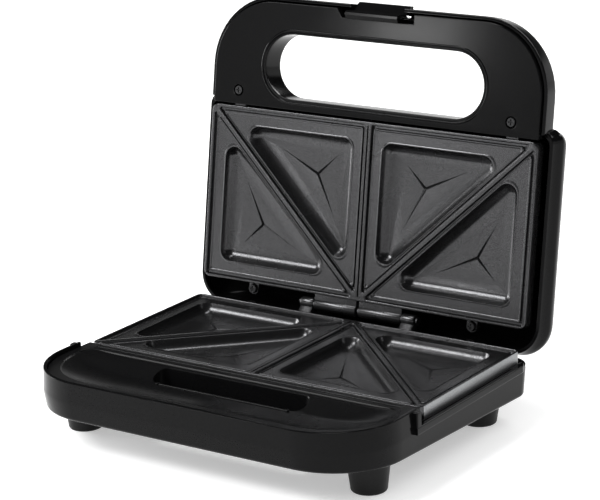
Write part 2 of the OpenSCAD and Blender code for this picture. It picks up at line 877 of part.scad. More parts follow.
module base_shell() {
    hole_w = base_hole_w + 2 * (tube_t + play);
    hole_d = base_hole_d + 2 * (tube_t + play);
    color(black_gloss)
        in_base()
            difference() {
                union() {
                    difference() {
                        union() {
                            tub(0, rim_z);
                            flanges();
                        }
                        tub(wall, rim_z + 1);
                        translate([-plate_w, -base_step_reach + flange_h, flange_z])
                            cube([2 * plate_w, plate_w, plate_w]);
                        translate([-body_half + wall, -base_step_reach, flange_z])
                            cube([2 * (body_half - wall), plate_w, plate_w]);
                        translate([-plate_w, -flange_end, ledge_z])
                            cube([2 * plate_w, plate_w, plate_w]);
                    }
                    intersection() {
                        union() {
                            base_posts();
                            translate([-plate_w, skirt_gap - hinge_back, ledge_z - wall])
                                cube([2 * plate_w, plate_w, wall]);
                        }
                        tub(wall / 2, rim_z);
                    }
                    both_sides()
                        post(rear_screw_x, rear_lug_reach, ledge_z - 1, lug_under_z - seat, rear_post_r);
                }
                translate([0, -base_hole_reach, 0])
                    linear_extrude(2 * bottom_front_z)
                        round_rect(hole_w, hole_d, base_hole_r + tube_t + play);
                both_sides() {
                    post(screw_x, -front_lug_reach, 0, lug_under_z + 1, screw_r + screw_play);
                    post(screw_x, -front_lug_reach, 0, front_head_z, head_r + play);
                    post(rear_screw_x, rear_lug_reach, lug_under_z - 9, lug_under_z + 1,
                        screw_r + screw_play);
                    post(deck_screw_x, -deck_screw_reach, 0, bottom_front_z + 4,
                        screw_r + screw_play);
                    for (y = foot_ys) {
                        post(foot_pitch_x / 2, y, 0, socket_top(y), foot_top_r + play);
                        post(foot_pitch_x / 2, y, 0, bottom_front_z + 9, foot_stud_r + seat);
                    }
                }
                translate([inlet_x, 0, inlet_z])
                    rotate([-90, 0, 0])
                        cylinder(r = bush_r + seat, h = 2 * wall + 8);
                for (x = [-2:2])
                    translate([16 * x - 1.5, -78, 0])
                        cube([3, 32, bottom_front_z]);
            }
}

front_head_z = underside(-front_lug_reach) + head_h + 1;

// Dish in the deck: its cut surface, or with w its outer skin
module dish(w, over, under) {
    edge_r = front_corner_r - 9;
    rear_r = 13;
    hull() {
        layer(deck_z + over, dish_half + w, dish_front + w, w - dish_back, edge_r + w, rear_r + w / 2);
        layer(dish_z + under, dish_half - dish_cove + w, dish_front - dish_cove + w,
            w - dish_back - dish_slope, edge_r - dish_cove + w, rear_r - dish_slope + w / 2);
    }
}

// Deck with a dished front, grooves, and the tube of the finger opening
module deck_body() {
    skirt_t = 1.8;
    skirt_drop = 1;
    groove_depth = 0.8;
    post_foot = 0.6;
    tube_end_z = underside(-base_hole_reach - base_hole_d / 2) + play;
    difference() {
        union() {
            difference() {
                translate([0, 0, deck_z - wall - skirt_drop])
                    linear_extrude(wall + skirt_drop)
                        plan(deck_half, deck_front, -deck_back, front_corner_r - wall, 1);
                translate([0, 0, deck_z - wall - latch_room])
                    linear_extrude(latch_room)
                        plan(deck_half - skirt_t, deck_front - skirt_t, -deck_back - skirt_t,
                            front_corner_r - wall - skirt_t, 1);
            }
            dish(wall, -0.6, layer_t - wall);
            both_sides() {
                translate([deck_half - skirt_t, -base_step_reach + seat, flange_z + seat])
                    cube([skirt_t, base_step_reach - deck_back - seat, deck_z - flange_z - 1]);
                post(screw_x, -front_lug_reach, lug_over_z + seat, deck_z - 1, post_r);
                post(deck_screw_x, -deck_screw_reach,
                    underside(-deck_screw_reach) + wall + post_foot, dish_z - 1, post_r);
            }
            translate([0, -base_hole_reach, tube_end_z])
                linear_extrude(dish_z - tube_end_z - 0.5)
                    round_rect(base_hole_w + 2 * tube_t, base_hole_d + 2 * tube_t,
                        base_hole_r + tube_t);
        }
        dish(0, layer_t, layer_t);
        translate([0, -base_hole_reach, 0])
            linear_extrude(2 * deck_z)
                round_rect(base_hole_w, base_hole_d, base_hole_r);
        for (i = [1:groove_count])
            translate([-dish_half, -plate_front - skirt_gap - i * dish_start / 5,
                deck_z - groove_depth])
                cube([2 * dish_half, groove_w, 2]);
        translate([-latch_w / 2 - latch_side_gap, -front_reach, deck_z - latch_room])
            cube([latch_w + 2 * latch_side_gap, front_reach - latch_edge_reach, 2 * latch_room]);
        translate([-latch_w / 2 - latch_side_gap, -front_reach, deck_z - latch_room])
            cube([latch_w + 2 * latch_side_gap, front_reach - latch_edge_reach + latch_pocket,
                latch_room - wall]);
        both_sides() {
            post(screw_x, -front_lug_reach, 0, lug_over_z + seat, post_r + play);
            post(screw_x, -front_lug_reach, 0, deck_z - 1.4, screw_r + screw_play);
            post(deck_screw_x, -deck_screw_reach, 0, dish_z - wall, screw_r + screw_play);
        }
    }
}

// Raised lip along the front of the finger opening
module finger_lip() {
    lip_r = 0.9;
    translate([0, -base_hole_reach - base_hole_d / 2 - lip_r - play, dish_z])
        rotate([0, 90, 0])
            cylinder(r = lip_r, h = lip_w, center = true);
}

module base_deck() {
    color(black_matt)
        in_base() {
            deck_body();
            finger_lip();
        }
}

// Feet with a rounded lower edge and a stud that snaps into the base
module foot(x, y) {
    top = socket_top(y) - seat;
    edge_r = 1.5;
    color(black_matt)
        in_base()
            translate([x, y, 0]) {
                rotate_extrude()
                    union() {
                        polygon([[0, 0], [foot_bottom_r - edge_r, 0], [foot_bottom_r, edge_r],
                            [foot_top_r, top], [0, top]]);
                        translate([foot_bottom_r - edge_r, edge_r])
                            circle(edge_r);
                    }
                cylinder(r = foot_stud_r, h = top + wall + 0.4);
                translate([0, 0, top + wall + 0.3])
                    cylinder(r1 = foot_stud_r + 0.6, r2 = foot_stud_r - 0.6, h = 1.4);
            }
}

module foot_front_left() { foot(-foot_pitch_x / 2, foot_ys[0]); }
module foot_front_right() { foot(foot_pitch_x / 2, foot_ys[0]); }
module foot_rear_left() { foot(-foot_pitch_x / 2, foot_ys[1]); }
module foot_rear_right() { foot(foot_pitch_x / 2, foot_ys[1]); }

// Long screws from below: two clamp the plate's lugs under the deck, two hold the deck's front
module base_screws() {
    color(steel)
        in_base()
            both_sides() {
                translate([screw_x, -front_lug_reach, front_head_z - seat])
                    screw(deck_z - 1.6 - front_head_z);
                translate([deck_screw_x, -deck_screw_reach, underside(-deck_screw_reach) - 0.4])
                    screw(dish_z - wall - 1 - underside(-deck_screw_reach));
            }
}

// Screws that hold the plates' rear lugs, heads towards the cooking side
module rear_screws() {
    both_sides()
        translate([rear_screw_x, rear_lug_reach, seat - lug_drop])
            mirror([0, 0, 1])
                screw(lug_t + 6);
}

module lower_plate_screws() { color(steel) lower_frame() rear_screws(); }
module upper_plate_screws() { color(steel) upper_frame() rear_screws(); }

// Bush in the rear wall where a cord would enter
module cord_bush() {
    color(black_matt)
        in_base()
            translate([inlet_x, back_reach, inlet_z])
                rotate([90, 0, 0])
                    difference() {
                        union() {
                            translate([0, 0, -2])
                                cylinder(r1 = bush_r + 0.8, r2 = bush_r + 1.4, h = 1.4);
                            translate([0, 0, -0.7])
                                cylinder(r = bush_r, h = wall + 4);
                        }
                        translate([0, 0, -5])
                            cylinder(r = inlet_r, h = wall + 20);
                    }
}

module terminal_block() {
    color(ceramic)
        in_base()
            translate([inlet_x, terminal_y, terminal_z])
                difference() {
                    translate([-terminal_w / 2, -terminal_d / 2, 0])
                        cube([terminal_w, terminal_d, terminal_h]);
                    for (x = [-1, 0, 1] * terminal_w / 3) {
                        translate([x, 0, 3])
                            rotate([90, 0, 0])
                                cylinder(r = 1.6, h = terminal_d + 2, center = true);
                        translate([x, 0, 3])
                            cylinder(r = 1.4, h = 5);
                    }
                }
}

module hinge_pin() {
    pin_l = 2 * end_x1 + 1.2;
    color(steel)
        in_base()
            translate([0, 0, hinge_z])
                rotate([0, 90, 0]) {
                    cylinder(r = pin_r, h = pin_l, center = true);
                    for (s = [-1, 1])
                        translate([0, 0, s * (pin_l / 2 + 0.4)])
                            cylinder(r = pin_r + 0.8, h = 0.8, center = true);
                }
}

// ---------- Lid, written as if it were shut ----------

handle_round = 5;
handle_draft = 0.4;
grip_tube_t = 1.8;
panel_half = body_half - wall - inset_gap;
panel_front = front_reach - wall - inset_gap;
panel_back = plate_front + skirt_gap;
upper_lug_z = upper_rise + lug_drop;
latch_gap = 0.5;
latch_pivot_z = 3;
latch_top_z = lid_rim_z + 10.3;
pad_proud = 1.2;
pad_t = 2.6;
pad_blend = 5.4;
latch_pin_y = -latch_front_reach + latch_t / 2 + 0.1;
ear_t = 3;
notch_half = 25.5;
notch_back = 168;
notch_slant = 3;

// One level of the crowned top: t runs from 0 at the widest line to 90 at the top
module crown_layer(t, w) {
    in = crown_inset(t);
    layer(crown_level(t, w), crown_half + crown_swell - in - w, lid_step_reach - 0.9 * in - w,
        lid_back - 0.6 * in - w, 7 + in / 2, lid_corner_r - w + in / 6);
}

// Crowned part over the plates, w inside the outer skin
module crown(w) {
    hull() {
        layer(lid_edge_z - w, crown_half - w, lid_step_reach - w, lid_back - 1 - w, 7,
            lid_corner_r - w);
        for (t = [0:18:90])
            crown_layer(t, w);
    }
}

// Flat part with the handle, w inside the outer skin; its back end runs into the crowned part
module handle(w) {
    back = wall * 0.8 + 2.5 * w - lid_step_reach;
    hull() {
        layer(lid_rim_z - w + layer_t, body_half - w, front_reach - w, back, front_corner_r - w, 1);
        for (a = [0:30:90])
            let (in = w + handle_draft + handle_round * (1 - cos(a)))
                layer(handle_top - w - handle_round * (1 - sin(a)), body_half - in,
                    front_reach - in, back, front_corner_r - in, 1);
    }
}

module grip_outline(extra) {
    translate([0, -grip_reach])
        stadium(grip_w + 2 * extra, grip_h + 2 * extra);
}

// Posts, pillars and latch ears inside the lid
module lid_posts() {
    far = crown_h;
    both_sides() {
        post(screw_x, -front_lug_reach, upper_lug_z + lug_t + seat, far, post_r);
        post(rear_screw_x, rear_lug_reach, upper_lug_z + lug_t + seat, far, rear_post_r);
        for (y = pillar_ys)
            post(pillar_x, y, upper_rise - reflector_z + seat, far, pillar_r);
        translate([latch_w / 2 + latch_gap, -front_reach + wall - eps, 0.2])
            cube([ear_t, 7, far]);
    }
    for (x = lamp_xs)
        post(x, lamp_y, crown_h - lamp_l - 2, far, lens_r + 2);
}

lamp_y = -plate_front / 2 - 8;
lamp_xs = [-lamp_pitch / 2, lamp_pitch / 2];
lamp_l = 9;

module lid_shell() {
    color(black_gloss)
        in_lid()
            difference() {
                union() {
                    difference() {
                        union() {
                            crown(0);
                            handle(0);
                        }
                        crown(wall);
                        handle(wall);
                        translate([-plate_w, -lid_step_reach, lid_edge_z - plate_w])
                            cube([2 * plate_w, plate_w, plate_w]);
                    }
                    intersection() {
                        lid_posts();
                        union() {
                            crown(wall / 2);
                            handle(wall / 2);
                        }
                    }
                    translate([0, 0, panel_z + wall + seat])
                        linear_extrude(handle_top - panel_z - wall - seat - 0.4)
                            grip_outline(grip_tube_t);
                }
                translate([0, 0, lid_rim_z - 5])
                    linear_extrude(2 * handle_t)
                        grip_outline(0);
                both_sides() {
                    post(screw_x, -front_lug_reach, 0, handle_top - wall - 0.6, screw_r + screw_play);
                    post(rear_screw_x, rear_lug_reach, 0, upper_lug_z + lug_t + 9,
                        screw_r + screw_play);
                }
                translate([-latch_w / 2 - latch_gap, -front_reach - 1, lid_rim_z - 1])
                    cube([latch_w + 2 * latch_gap, front_reach + 1 - latch_back_reach + latch_gap,
                        latch_top_z + 2 * latch_gap - lid_rim_z + 1]);
                translate([0, latch_pin_y, latch_pivot_z])
                    rotate([0, 90, 0])
                        cylinder(r = latch_pin_r + 0.02, h = latch_w + 40, center = true);
                for (x = lamp_xs) {
                    post(x, lamp_y, 0, crown_h + 1, lens_r + seat);
                    post(x, lamp_y, 0, crown_h - lamp_l - 1, lens_r + 0.8);
                }
            }
}

module lid_panel() {
    downstand = 5;
    t = 1.8;
    color(black_gloss)
        in_lid()
            difference() {
                union() {
                    difference() {
                        translate([0, 0, panel_z])
                            linear_extrude(downstand)
                                plan(panel_half, panel_front, -panel_back,
                                    front_corner_r - wall - inset_gap, 1);
                        translate([0, 0, panel_z + wall])
                            linear_extrude(downstand)
                                plan(panel_half - t, panel_front - t, -panel_back + 20,
                                    front_corner_r - wall - inset_gap - t, 1);
                    }
                    both_sides()
                        post(screw_x, -front_lug_reach, panel_z + 1, upper_lug_z - seat, post_r);
                    translate([0, 0, panel_z - 0.4])
                        linear_extrude(1)
                            difference() {
                                grip_outline(grip_lip);
                                grip_outline(grip_lip - 0.9);
                            }
                }
                translate([0, 0, panel_z - 5])
                    linear_extrude(2 * handle_t)
                        grip_outline(0);
                both_sides() {
                    post(screw_x, -front_lug_reach, panel_z - 1, panel_z + head_h, head_r + play);
                    post(screw_x, -front_lug_reach, panel_z - 1, handle_top, screw_r + screw_play);
                }
                translate([0, 0, panel_z - 1])
                    linear_extrude(handle_t)
                        polygon([[-notch_half + notch_slant, -notch_back],
                            [notch_half, -notch_back], [notch_half, -front_reach],
                            [-notch_half - notch_slant, -front_reach]]);
            }
}

module panel_screws() {
    color(steel)
        in_lid()
            both_sides()
                translate([screw_x, -front_lug_reach, panel_z + head_h - seat])
                    screw(upper_lug_z + lug_t + 6 - panel_z);
}

// ---------- Signal lamps ----------

// Lens with a flange on top and a sleeve round the lamp
module lens(x) {
    in_lid()
        translate([x, lamp_y, 0])
            difference() {
                union() {
                    translate([0, 0, crown_h - lamp_l])
                        cylinder(r = lens_r, h = lamp_l + 0.1);
                    translate([0, 0, crown_h])
                        cylinder(r1 = lens_r + 0.7, r2 = lens_r, h = 0.8);
                }
                translate([0, 0, crown_h - lamp_l - 1])
                    cylinder(r = lens_r - 0.9, h = lamp_l);
            }
}

// Small glass lamp inside the sleeve
module lamp(x) {
    r = lens_r - 0.9 - seat;
    in_lid()
        translate([x, lamp_y, crown_h - 1 - seat - r]) {
            sphere(r);
            translate([0, 0, -lamp_l])
                cylinder(r = r, h = lamp_l);
        }
}

module power_lens() { color(amber) lens(lamp_xs[0]); }
module ready_lens() { color(green) lens(lamp_xs[1]); }
module power_lamp() { color(amber) lamp(lamp_xs[0]); }
module ready_lamp() { color(green) lamp(lamp_xs[1]); }

// ---------- Latch ----------

// Press pad on top, blade below with a tooth that points to the back
module latch() {
    bottom = lid_rim_z - latch_drop;
    tooth_top = deck_z - wall - hinge_z - play;
    pad_y = -front_reach - pad_proud;
    f = -latch_front_reach;
    b = -latch_back_reach;
    tip = b + latch_catch_gap + latch_catch;
    color(black_gloss)
        in_lid()
            difference() {
                translate([-latch_w / 2, 0, 0])
                    rotate([90, 0, 90])
                        linear_extrude(latch_w)
                            polygon([[pad_y, latch_top_z], [pad_y, latch_top_z - pad_t],
                                [f, latch_top_z - pad_t - pad_blend], [f, bottom + 1],
                                [f + 1, bottom],
                                [b, bottom], [tip, tooth_top - 0.6], [tip, tooth_top],
                                [b, tooth_top], [b, latch_top_z]]);
                translate([0, latch_pin_y, latch_pivot_z])
                    rotate([0, 90, 0])
                        cylinder(r = latch_pin_r + pin_play, h = latch_w + 2, center = true);
            }
}

module latch_pin() {
    color(steel)
        in_lid()
            translate([0, latch_pin_y, latch_pivot_z])
                rotate([0, 90, 0])
                    cylinder(r = latch_pin_r, h = latch_w + 2 * (latch_gap + ear_t), center = true);
}

// Leaf spring between the latch's back and the roof of the handle
module latch_spring() {
    b = -latch_back_reach + seat;
    t = 0.4;
    roof = handle_top - wall - seat;
    bend = 2;
    leaf_l = 8;
    color(steel)
        in_lid()
            translate([-6, 0, 0])
                rotate([90, 0, 90])
                    linear_extrude(12)
                        polygon([[b, latch_top_z - 4], [b + t, latch_top_z - 4],
                            [b + bend + 0.2, roof - t], [b + leaf_l, roof - t], [b + leaf_l, roof],
                            [b + bend, roof], [b, latch_top_z - 2]]);
}

base_shell();
base_deck();
foot_front_left();
foot_front_right();
foot_rear_left();
foot_rear_right();
base_screws();
cord_bush();
terminal_block();
lower_plate();
hinge_pin();
lower_plate_screws();
lower_element();
lower_insulators();
lower_clamps();
lower_clamp_screws();
lower_reflector();
thermostat();
thermal_fuse();
fuse_clip();
lid_shell();
lid_panel();
panel_screws();
upper_plate();
upper_plate_screws();
upper_element();
upper_insulators();
upper_clamps();
upper_clamp_screws();
upper_reflector();
power_lens();
ready_lens();
power_lamp();
ready_lamp();
latch();
latch_pin();
latch_spring();
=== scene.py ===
import json
import math

import bmesh
import bpy
from mathutils import Matrix, Vector


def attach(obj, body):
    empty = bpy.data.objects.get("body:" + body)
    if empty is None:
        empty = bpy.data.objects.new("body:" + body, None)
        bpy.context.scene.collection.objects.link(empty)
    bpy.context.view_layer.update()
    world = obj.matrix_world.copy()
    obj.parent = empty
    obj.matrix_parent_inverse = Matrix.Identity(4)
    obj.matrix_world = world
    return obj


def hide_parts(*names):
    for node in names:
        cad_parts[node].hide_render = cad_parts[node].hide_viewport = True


# Looks of a two-slot sandwich toaster that stands open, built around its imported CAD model.
# Pieces are written in millimetres, in the frames that the CAD source uses: the base's frame has
# its Y = 0 on the hinge line, the lid's frame is the lid shut about the hinge axis, and a plate's
# frame lies on the plate's rim, body down.

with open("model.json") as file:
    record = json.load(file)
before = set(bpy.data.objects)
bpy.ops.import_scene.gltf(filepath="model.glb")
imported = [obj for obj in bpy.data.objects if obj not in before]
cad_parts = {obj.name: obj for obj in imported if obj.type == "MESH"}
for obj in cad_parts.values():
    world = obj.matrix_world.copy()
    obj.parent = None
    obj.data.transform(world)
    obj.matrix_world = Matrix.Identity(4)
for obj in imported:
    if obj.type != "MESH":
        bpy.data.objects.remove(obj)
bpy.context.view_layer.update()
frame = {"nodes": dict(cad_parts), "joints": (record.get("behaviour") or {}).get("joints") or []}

# ---------- Frames ----------

MM = 0.001
HINGE = next(j for j in frame["joints"] if j["name"] == "lid_hinge")
HINGE_AT = Vector(HINGE["pos_m"])
OPEN_ANGLE = HINGE["range_deg"][1]
UPPER_RIM = -3.0
LOWER_RISE = 3.6

SCALE = Matrix.Scale(MM, 4)
BASE = Matrix.Translation((0, HINGE_AT.y, 0)) @ SCALE
LID = Matrix.Translation(HINGE_AT) @ Matrix.Rotation(math.radians(-OPEN_ANGLE), 4, "X") @ SCALE
LOWER = Matrix.Translation(HINGE_AT - Vector((0, 0, LOWER_RISE * MM))) @ SCALE
UPPER = LID @ Matrix.Translation((0, 0, UPPER_RIM)) @ Matrix.Diagonal((1, 1, -1, 1))

# ---------- Main sizes ----------

PLATE_W = 220
PLATE_D = 104
HINGE_BACK = 6.2
PLATE_FRONT = HINGE_BACK + PLATE_D
CAST_T = 2.4
FRONT_REACH = 176
BODY_HALF = 112.4
WALL = 2.2
FRONT_R = 42
# Where the right front screw goes: the plate's lug, the base's floor and the lid's cover
FRONT_SCREW = (92, -PLATE_FRONT - 9.4)
SCREW_HEAD_R = 3.3
# Points closer than this count as being in one place
NEAR = 0.1

# ---------- Camera, where the photograph was taken from ----------

IMAGE_W = 600
FOCAL_PX = 2385.6
CAMERA_AT = (0.7232, -1.0307, 0.4698)
AZIMUTH = 34.85
ELEVATION = 16.5
ROLL = -2.0


def make_camera():
    """The camera, aimed by its azimuth, elevation and roll."""
    data = bpy.data.cameras.new("camera")
    data.sensor_width = 36
    data.lens = FOCAL_PX * data.sensor_width / IMAGE_W
    camera = bpy.data.objects.new("camera", data)
    bpy.context.scene.collection.objects.link(camera)
    a, e = math.radians(AZIMUTH), math.radians(ELEVATION)
    back = Vector((math.sin(a) * math.cos(e), -math.cos(a) * math.cos(e), math.sin(e)))
    turn = back.to_track_quat("Z", "Y").to_matrix().to_4x4()
    roll = Matrix.Rotation(math.radians(ROLL), 4, "Z")
    camera.matrix_world = Matrix.Translation(CAMERA_AT) @ turn @ roll
    bpy.context.scene.camera = camera


make_camera()

# ---------- Outlines: closed lists of points, counter-clockwise seen from above ----------


def arc(x, y, r, start, turn, steps):
    return [(x + r * math.cos(math.radians(start + turn * i / steps)),
             y + r * math.sin(math.radians(start + turn * i / steps))) for i in range(steps + 1)]


def line(p, q, marks):
    """Points between p and q, both left out, at each mark along the line's main axis."""
    axis = 0 if abs(q[0] - p[0]) > abs(q[1] - p[1]) else 1
    shares = sorted((m - p[axis]) / (q[axis] - p[axis]) for m in marks)
    return [(p[0] + s * (q[0] - p[0]), p[1] + s * (q[1] - p[1])) for s in shares if 0.001 < s < 0.999]


def plan(half, front, back, front_r, back_r, steps=12, side_marks=(), front_marks=()):
    """Outline between two Y lines, with its own front and rear corner radii."""
    rear_right = arc(half - back_r, back - back_r, back_r, 0, 90, steps)
    rear_left = arc(back_r - half, back - back_r, back_r, 90, 90, steps)
    front_left = arc(front_r - half, front_r - front, front_r, 180, 90, steps)
    front_right = arc(half - front_r, front_r - front, front_r, 270, 90, steps)
    return (rear_right + rear_left + line(rear_left[-1], front_left[0], side_marks) + front_left
            + line(front_left[-1], front_right[0], front_marks) + front_right
            + line(front_right[-1], rear_right[0], side_marks))


def round_box(w, d, r, at=(0, 0), steps=6):
    x, y = at
    return (arc(x + w / 2 - r, y + d / 2 - r, r, 0, 90, steps)
            + arc(x - w / 2 + r, y + d / 2 - r, r, 90, 90, steps)
            + arc(x - w / 2 + r, y - d / 2 + r, r, 180, 90, steps)
            + arc(x + w / 2 - r, y - d / 2 + r, r, 270, 90, steps))


def stadium(w, h, at=(0, 0), steps=24):
    x, y = at
    reach = (w - h) / 2
    return arc(x + reach, y, h / 2, -90, 180, steps) + arc(x - reach, y, h / 2, 90, 180, steps)


def circle(r, at, steps=32):
    return arc(at[0], at[1], r, 0, 360, steps)[:-1]


def grow(outline, d):
    """The outline moved outwards by d, each corner along its two edges' mean normal."""
    moved = []
    for i, p in enumerate(outline):
        before = (Vector(p) - Vector(outline[i - 1])).normalized()
        after = (Vector(outline[(i + 1) % len(outline)]) - Vector(p)).normalized()
        mean = Vector((before.y + after.y, -before.x - after.x)).normalized()
        reach = d / max(mean.dot(Vector((after.y, -after.x))), 0.5)
        moved.append((p[0] + mean.x * reach, p[1] + mean.y * reach))
    return moved


def triangle(corners, insets, r, steps=8):
    """Triangle with each side moved in by its inset, and with round corners of radius r."""
    centres = []
    for i in range(3):
        a, b, c = (Vector(corners[(i + k) % 3]) for k in (-1, 0, 1))
        before, after = (b - a).normalized(), (c - b).normalized()
        p = b + Vector((-before.y, before.x)) * (insets[i - 1] + r)
        q = b + Vector((-after.y, after.x)) * (insets[i] + r)
        cross = before.x * after.y - before.y * after.x
        t = ((q - p).x * after.y - (q - p).y * after.x) / cross
        centres.append((p + before * t, before, after))
    points = []
    for centre, before, after in centres:
        start = math.degrees(math.atan2(-before.x, before.y))
        turn = -math.degrees(before.angle_signed(after))
        points += arc(centre.x, centre.y, r, start, turn, steps)
    return points


# ---------- Mesh building ----------

SHARP_ANGLE = 38
ROUND_STEPS = 3


class Form:
    """A piece's mesh while it is built, in millimetres."""

    def __init__(self):
        self.mesh = bmesh.new()

    def ring(self, outline, z):
        """Vertices on an outline, at a height that is a number or a function of x and y."""
        height = z if callable(z) else lambda x, y: z
        return [self.mesh.verts.new((x, y, height(x, y))) for x, y in outline]

    def points(self, places):
        return [self.mesh.verts.new(p) for p in places]

    def skin(self, rings, keep=lambda k, i: True):
        """Quads between rings of equal length."""
        for k, (a, b) in enumerate(zip(rings, rings[1:])):
            for i in range(len(a)):
                j = (i + 1) % len(a)
                if keep(k, i):
                    self.mesh.faces.new((a[i], a[j], b[j], b[i]))

    def cap(self, *rings):
        """Flat filling inside the first ring and outside the others."""
        edges = []
        for ring in rings:
            for i, v in enumerate(ring):
                pair = (ring[i - 1], v)
                edges.append(self.mesh.edges.get(pair) or self.mesh.edges.new(pair))
        bmesh.ops.triangle_fill(self.mesh, use_beauty=True, use_dissolve=False, edges=edges)

    def walls(self, outline, steps):
        """Rings of the outline, grown and raised as each (growth, height) step says."""
        rings = [self.ring(grow(outline, d), z) for d, z in steps]
        self.skin(rings)
        return rings

    def solid(self, outline, steps):
        rings = self.walls(outline, steps)
        self.cap(rings[0])
        self.cap(rings[-1])

    def block(self, low, high, r):
        """Upright block with edges rounded by r."""
        w, d = high[0] - low[0], high[1] - low[1]
        middle = ((low[0] + high[0]) / 2, (low[1] + high[1]) / 2)
        self.solid(round_box(w, d, r, middle, 3), lower_edge(low[2], r) + upper_edge(high[2], r))

    def extrusion(self, outline, x0, x1, r):
        """Outline of (y, z) points drawn along X, its ends rounded by r."""
        rings = []
        for x, inset in [(x0, r), (x0 + 0.3 * r, 0.3 * r), (x0 + r, 0), (x1 - r, 0),
                         (x1 - 0.3 * r, 0.3 * r), (x1, r)]:
            rings.append(self.points([(x, y, z) for y, z in grow(outline, -inset)]))
        self.skin(rings)
        self.cap(rings[0])
        self.cap(rings[-1])

    def finish(self, name, placement, body, slot, material, replaced, even=True):
        """Turns the mesh into a piece; even shades its large flats as flat up to their edges."""
        bmesh.ops.recalc_face_normals(self.mesh, faces=self.mesh.faces)
        self.mesh.transform(placement)
        if placement.determinant() < 0:
            bmesh.ops.reverse_faces(self.mesh, faces=self.mesh.faces)
        data = bpy.data.meshes.new(name)
        self.mesh.to_mesh(data)
        self.mesh.free()
        data.polygons.foreach_set("use_smooth", [True] * len(data.polygons))
        data.set_sharp_from_angle(angle=math.radians(SHARP_ANGLE))
        data.materials.append(material)
        piece = bpy.data.objects.new(name, data)
        bpy.context.scene.collection.objects.link(piece)
        if even:
            flats = piece.modifiers.new("flats", "WEIGHTED_NORMAL")
            flats.keep_sharp = True
        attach(piece, body)
        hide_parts(replaced)
        return piece


def quarter(r):
    """(inset, drop) pairs of a rounded edge, from the wall to the flat."""
    angles = [math.radians(90 * i / ROUND_STEPS) for i in range(ROUND_STEPS + 1)]
    return [(r - r * math.cos(a), r - r * math.sin(a)) for a in angles]


def upper_edge(z, r):
    """Steps of a rounded upper edge, going up."""
    return [(-inset, z - drop) for inset, drop in quarter(r)]


def lower_edge(z, r):
    """Steps of a rounded lower edge, going up."""
    return [(d, 2 * z - h) for d, h in reversed(upper_edge(z, r))]


# ---------- Materials ----------

# Most values of the noise lie between these
NOISE_LOW = 0.3
NOISE_HIGH = 0.7


def shader(name):
    """A new material with its tree and its Principled shader."""
    material = bpy.data.materials.new(name)
    material.use_nodes = True
    return material, material.node_tree, material.node_tree.nodes["Principled BSDF"]


def noise(tree, scale, detail=2.0, stretch=(1, 1, 1)):
    """Noise fixed to the piece, with scale in cells per metre."""
    coords = tree.nodes.new("ShaderNodeTexCoord")
    mapping = tree.nodes.new("ShaderNodeMapping")
    mapping.inputs["Scale"].default_value = stretch
    texture = tree.nodes.new("ShaderNodeTexNoise")
    texture.inputs["Scale"].default_value = scale
    texture.inputs["Detail"].default_value = detail
    tree.links.new(coords.outputs["Object"], mapping.inputs["Vector"])
    tree.links.new(mapping.outputs["Vector"], texture.inputs["Vector"])
    return texture.outputs["Fac"]


def spread(tree, value, low, high, target):
    """Maps the noise to a range of the target socket."""
    mapped = tree.nodes.new("ShaderNodeMapRange")
    mapped.inputs["From Min"].default_value = NOISE_LOW
    mapped.inputs["From Max"].default_value = NOISE_HIGH
    mapped.inputs["To Min"].default_value = low
    mapped.inputs["To Max"].default_value = high
    tree.links.new(value, mapped.inputs["Value"])
    tree.links.new(mapped.outputs["Result"], target)


def tint(tree, value, dark, light, target):
    """Maps the noise to a colour between two."""
    ramp = tree.nodes.new("ShaderNodeValToRGB")
    ramp.color_ramp.elements[0].position = NOISE_LOW
    ramp.color_ramp.elements[0].color = (*dark, 1)
    ramp.color_ramp.elements[1].position = NOISE_HIGH
    ramp.color_ramp.elements[1].color = (*light, 1)
    tree.links.new(value, ramp.inputs["Fac"])
    tree.links.new(ramp.outputs["Color"], target)


def bump(tree, value, depth, bsdf):
    """Relief of a given depth in metres."""
    node = tree.nodes.new("ShaderNodeBump")
    node.inputs["Distance"].default_value = depth
    tree.links.new(value, node.inputs["Height"])
    tree.links.new(node.outputs["Normal"], bsdf.inputs["Normal"])


def finish_of(name, dark, light, rough, scale, depth, metallic=0.0, specular=0.5,
              stretch=(1, 1, 1)):
    """A surface with a mottled colour, uneven gloss and fine relief, depth in metres."""
    material, tree, bsdf = shader(name)
    bsdf.inputs["Metallic"].default_value = metallic
    bsdf.inputs["Specular IOR Level"].default_value = specular
    grain = noise(tree, scale, 3.0, stretch)
    wide = noise(tree, scale / 40, 2.0, stretch)
    tint(tree, grain, dark, light, bsdf.inputs["Base Color"])
    spread(tree, wide, rough[0], rough[1], bsdf.inputs["Roughness"])
    bump(tree, grain, depth, bsdf)
    return material


GLOSS_BLACK = finish_of("gloss_black", (0.0032, 0.0032, 0.0034), (0.0048, 0.0048, 0.005),
                        (0.1, 0.14), 900, 0.000003, specular=0.09)
SATIN_BLACK = finish_of("satin_black", (0.0032, 0.0032, 0.0034), (0.005, 0.005, 0.0052),
                        (0.24, 0.3), 1400, 0.00001, specular=0.09)
NONSTICK = finish_of("nonstick", (0.034, 0.034, 0.0352), (0.08, 0.08, 0.0825),
                     (0.23, 0.29), 1500, 0.00003, metallic=0.88)
BARE_CAST = finish_of("bare_cast", (0.24, 0.245, 0.25), (0.34, 0.345, 0.35),
                      (0.42, 0.5), 1200, 0.00002, metallic=1.0)
STEEL = finish_of("steel", (0.5, 0.5, 0.51), (0.62, 0.62, 0.63), (0.2, 0.28), 1500, 0.00001,
                  metallic=1.0)
DARK_STEEL = finish_of("dark_steel", (0.02, 0.02, 0.021), (0.04, 0.04, 0.041), (0.3, 0.4), 1500,
                       0.00001, metallic=0.8)
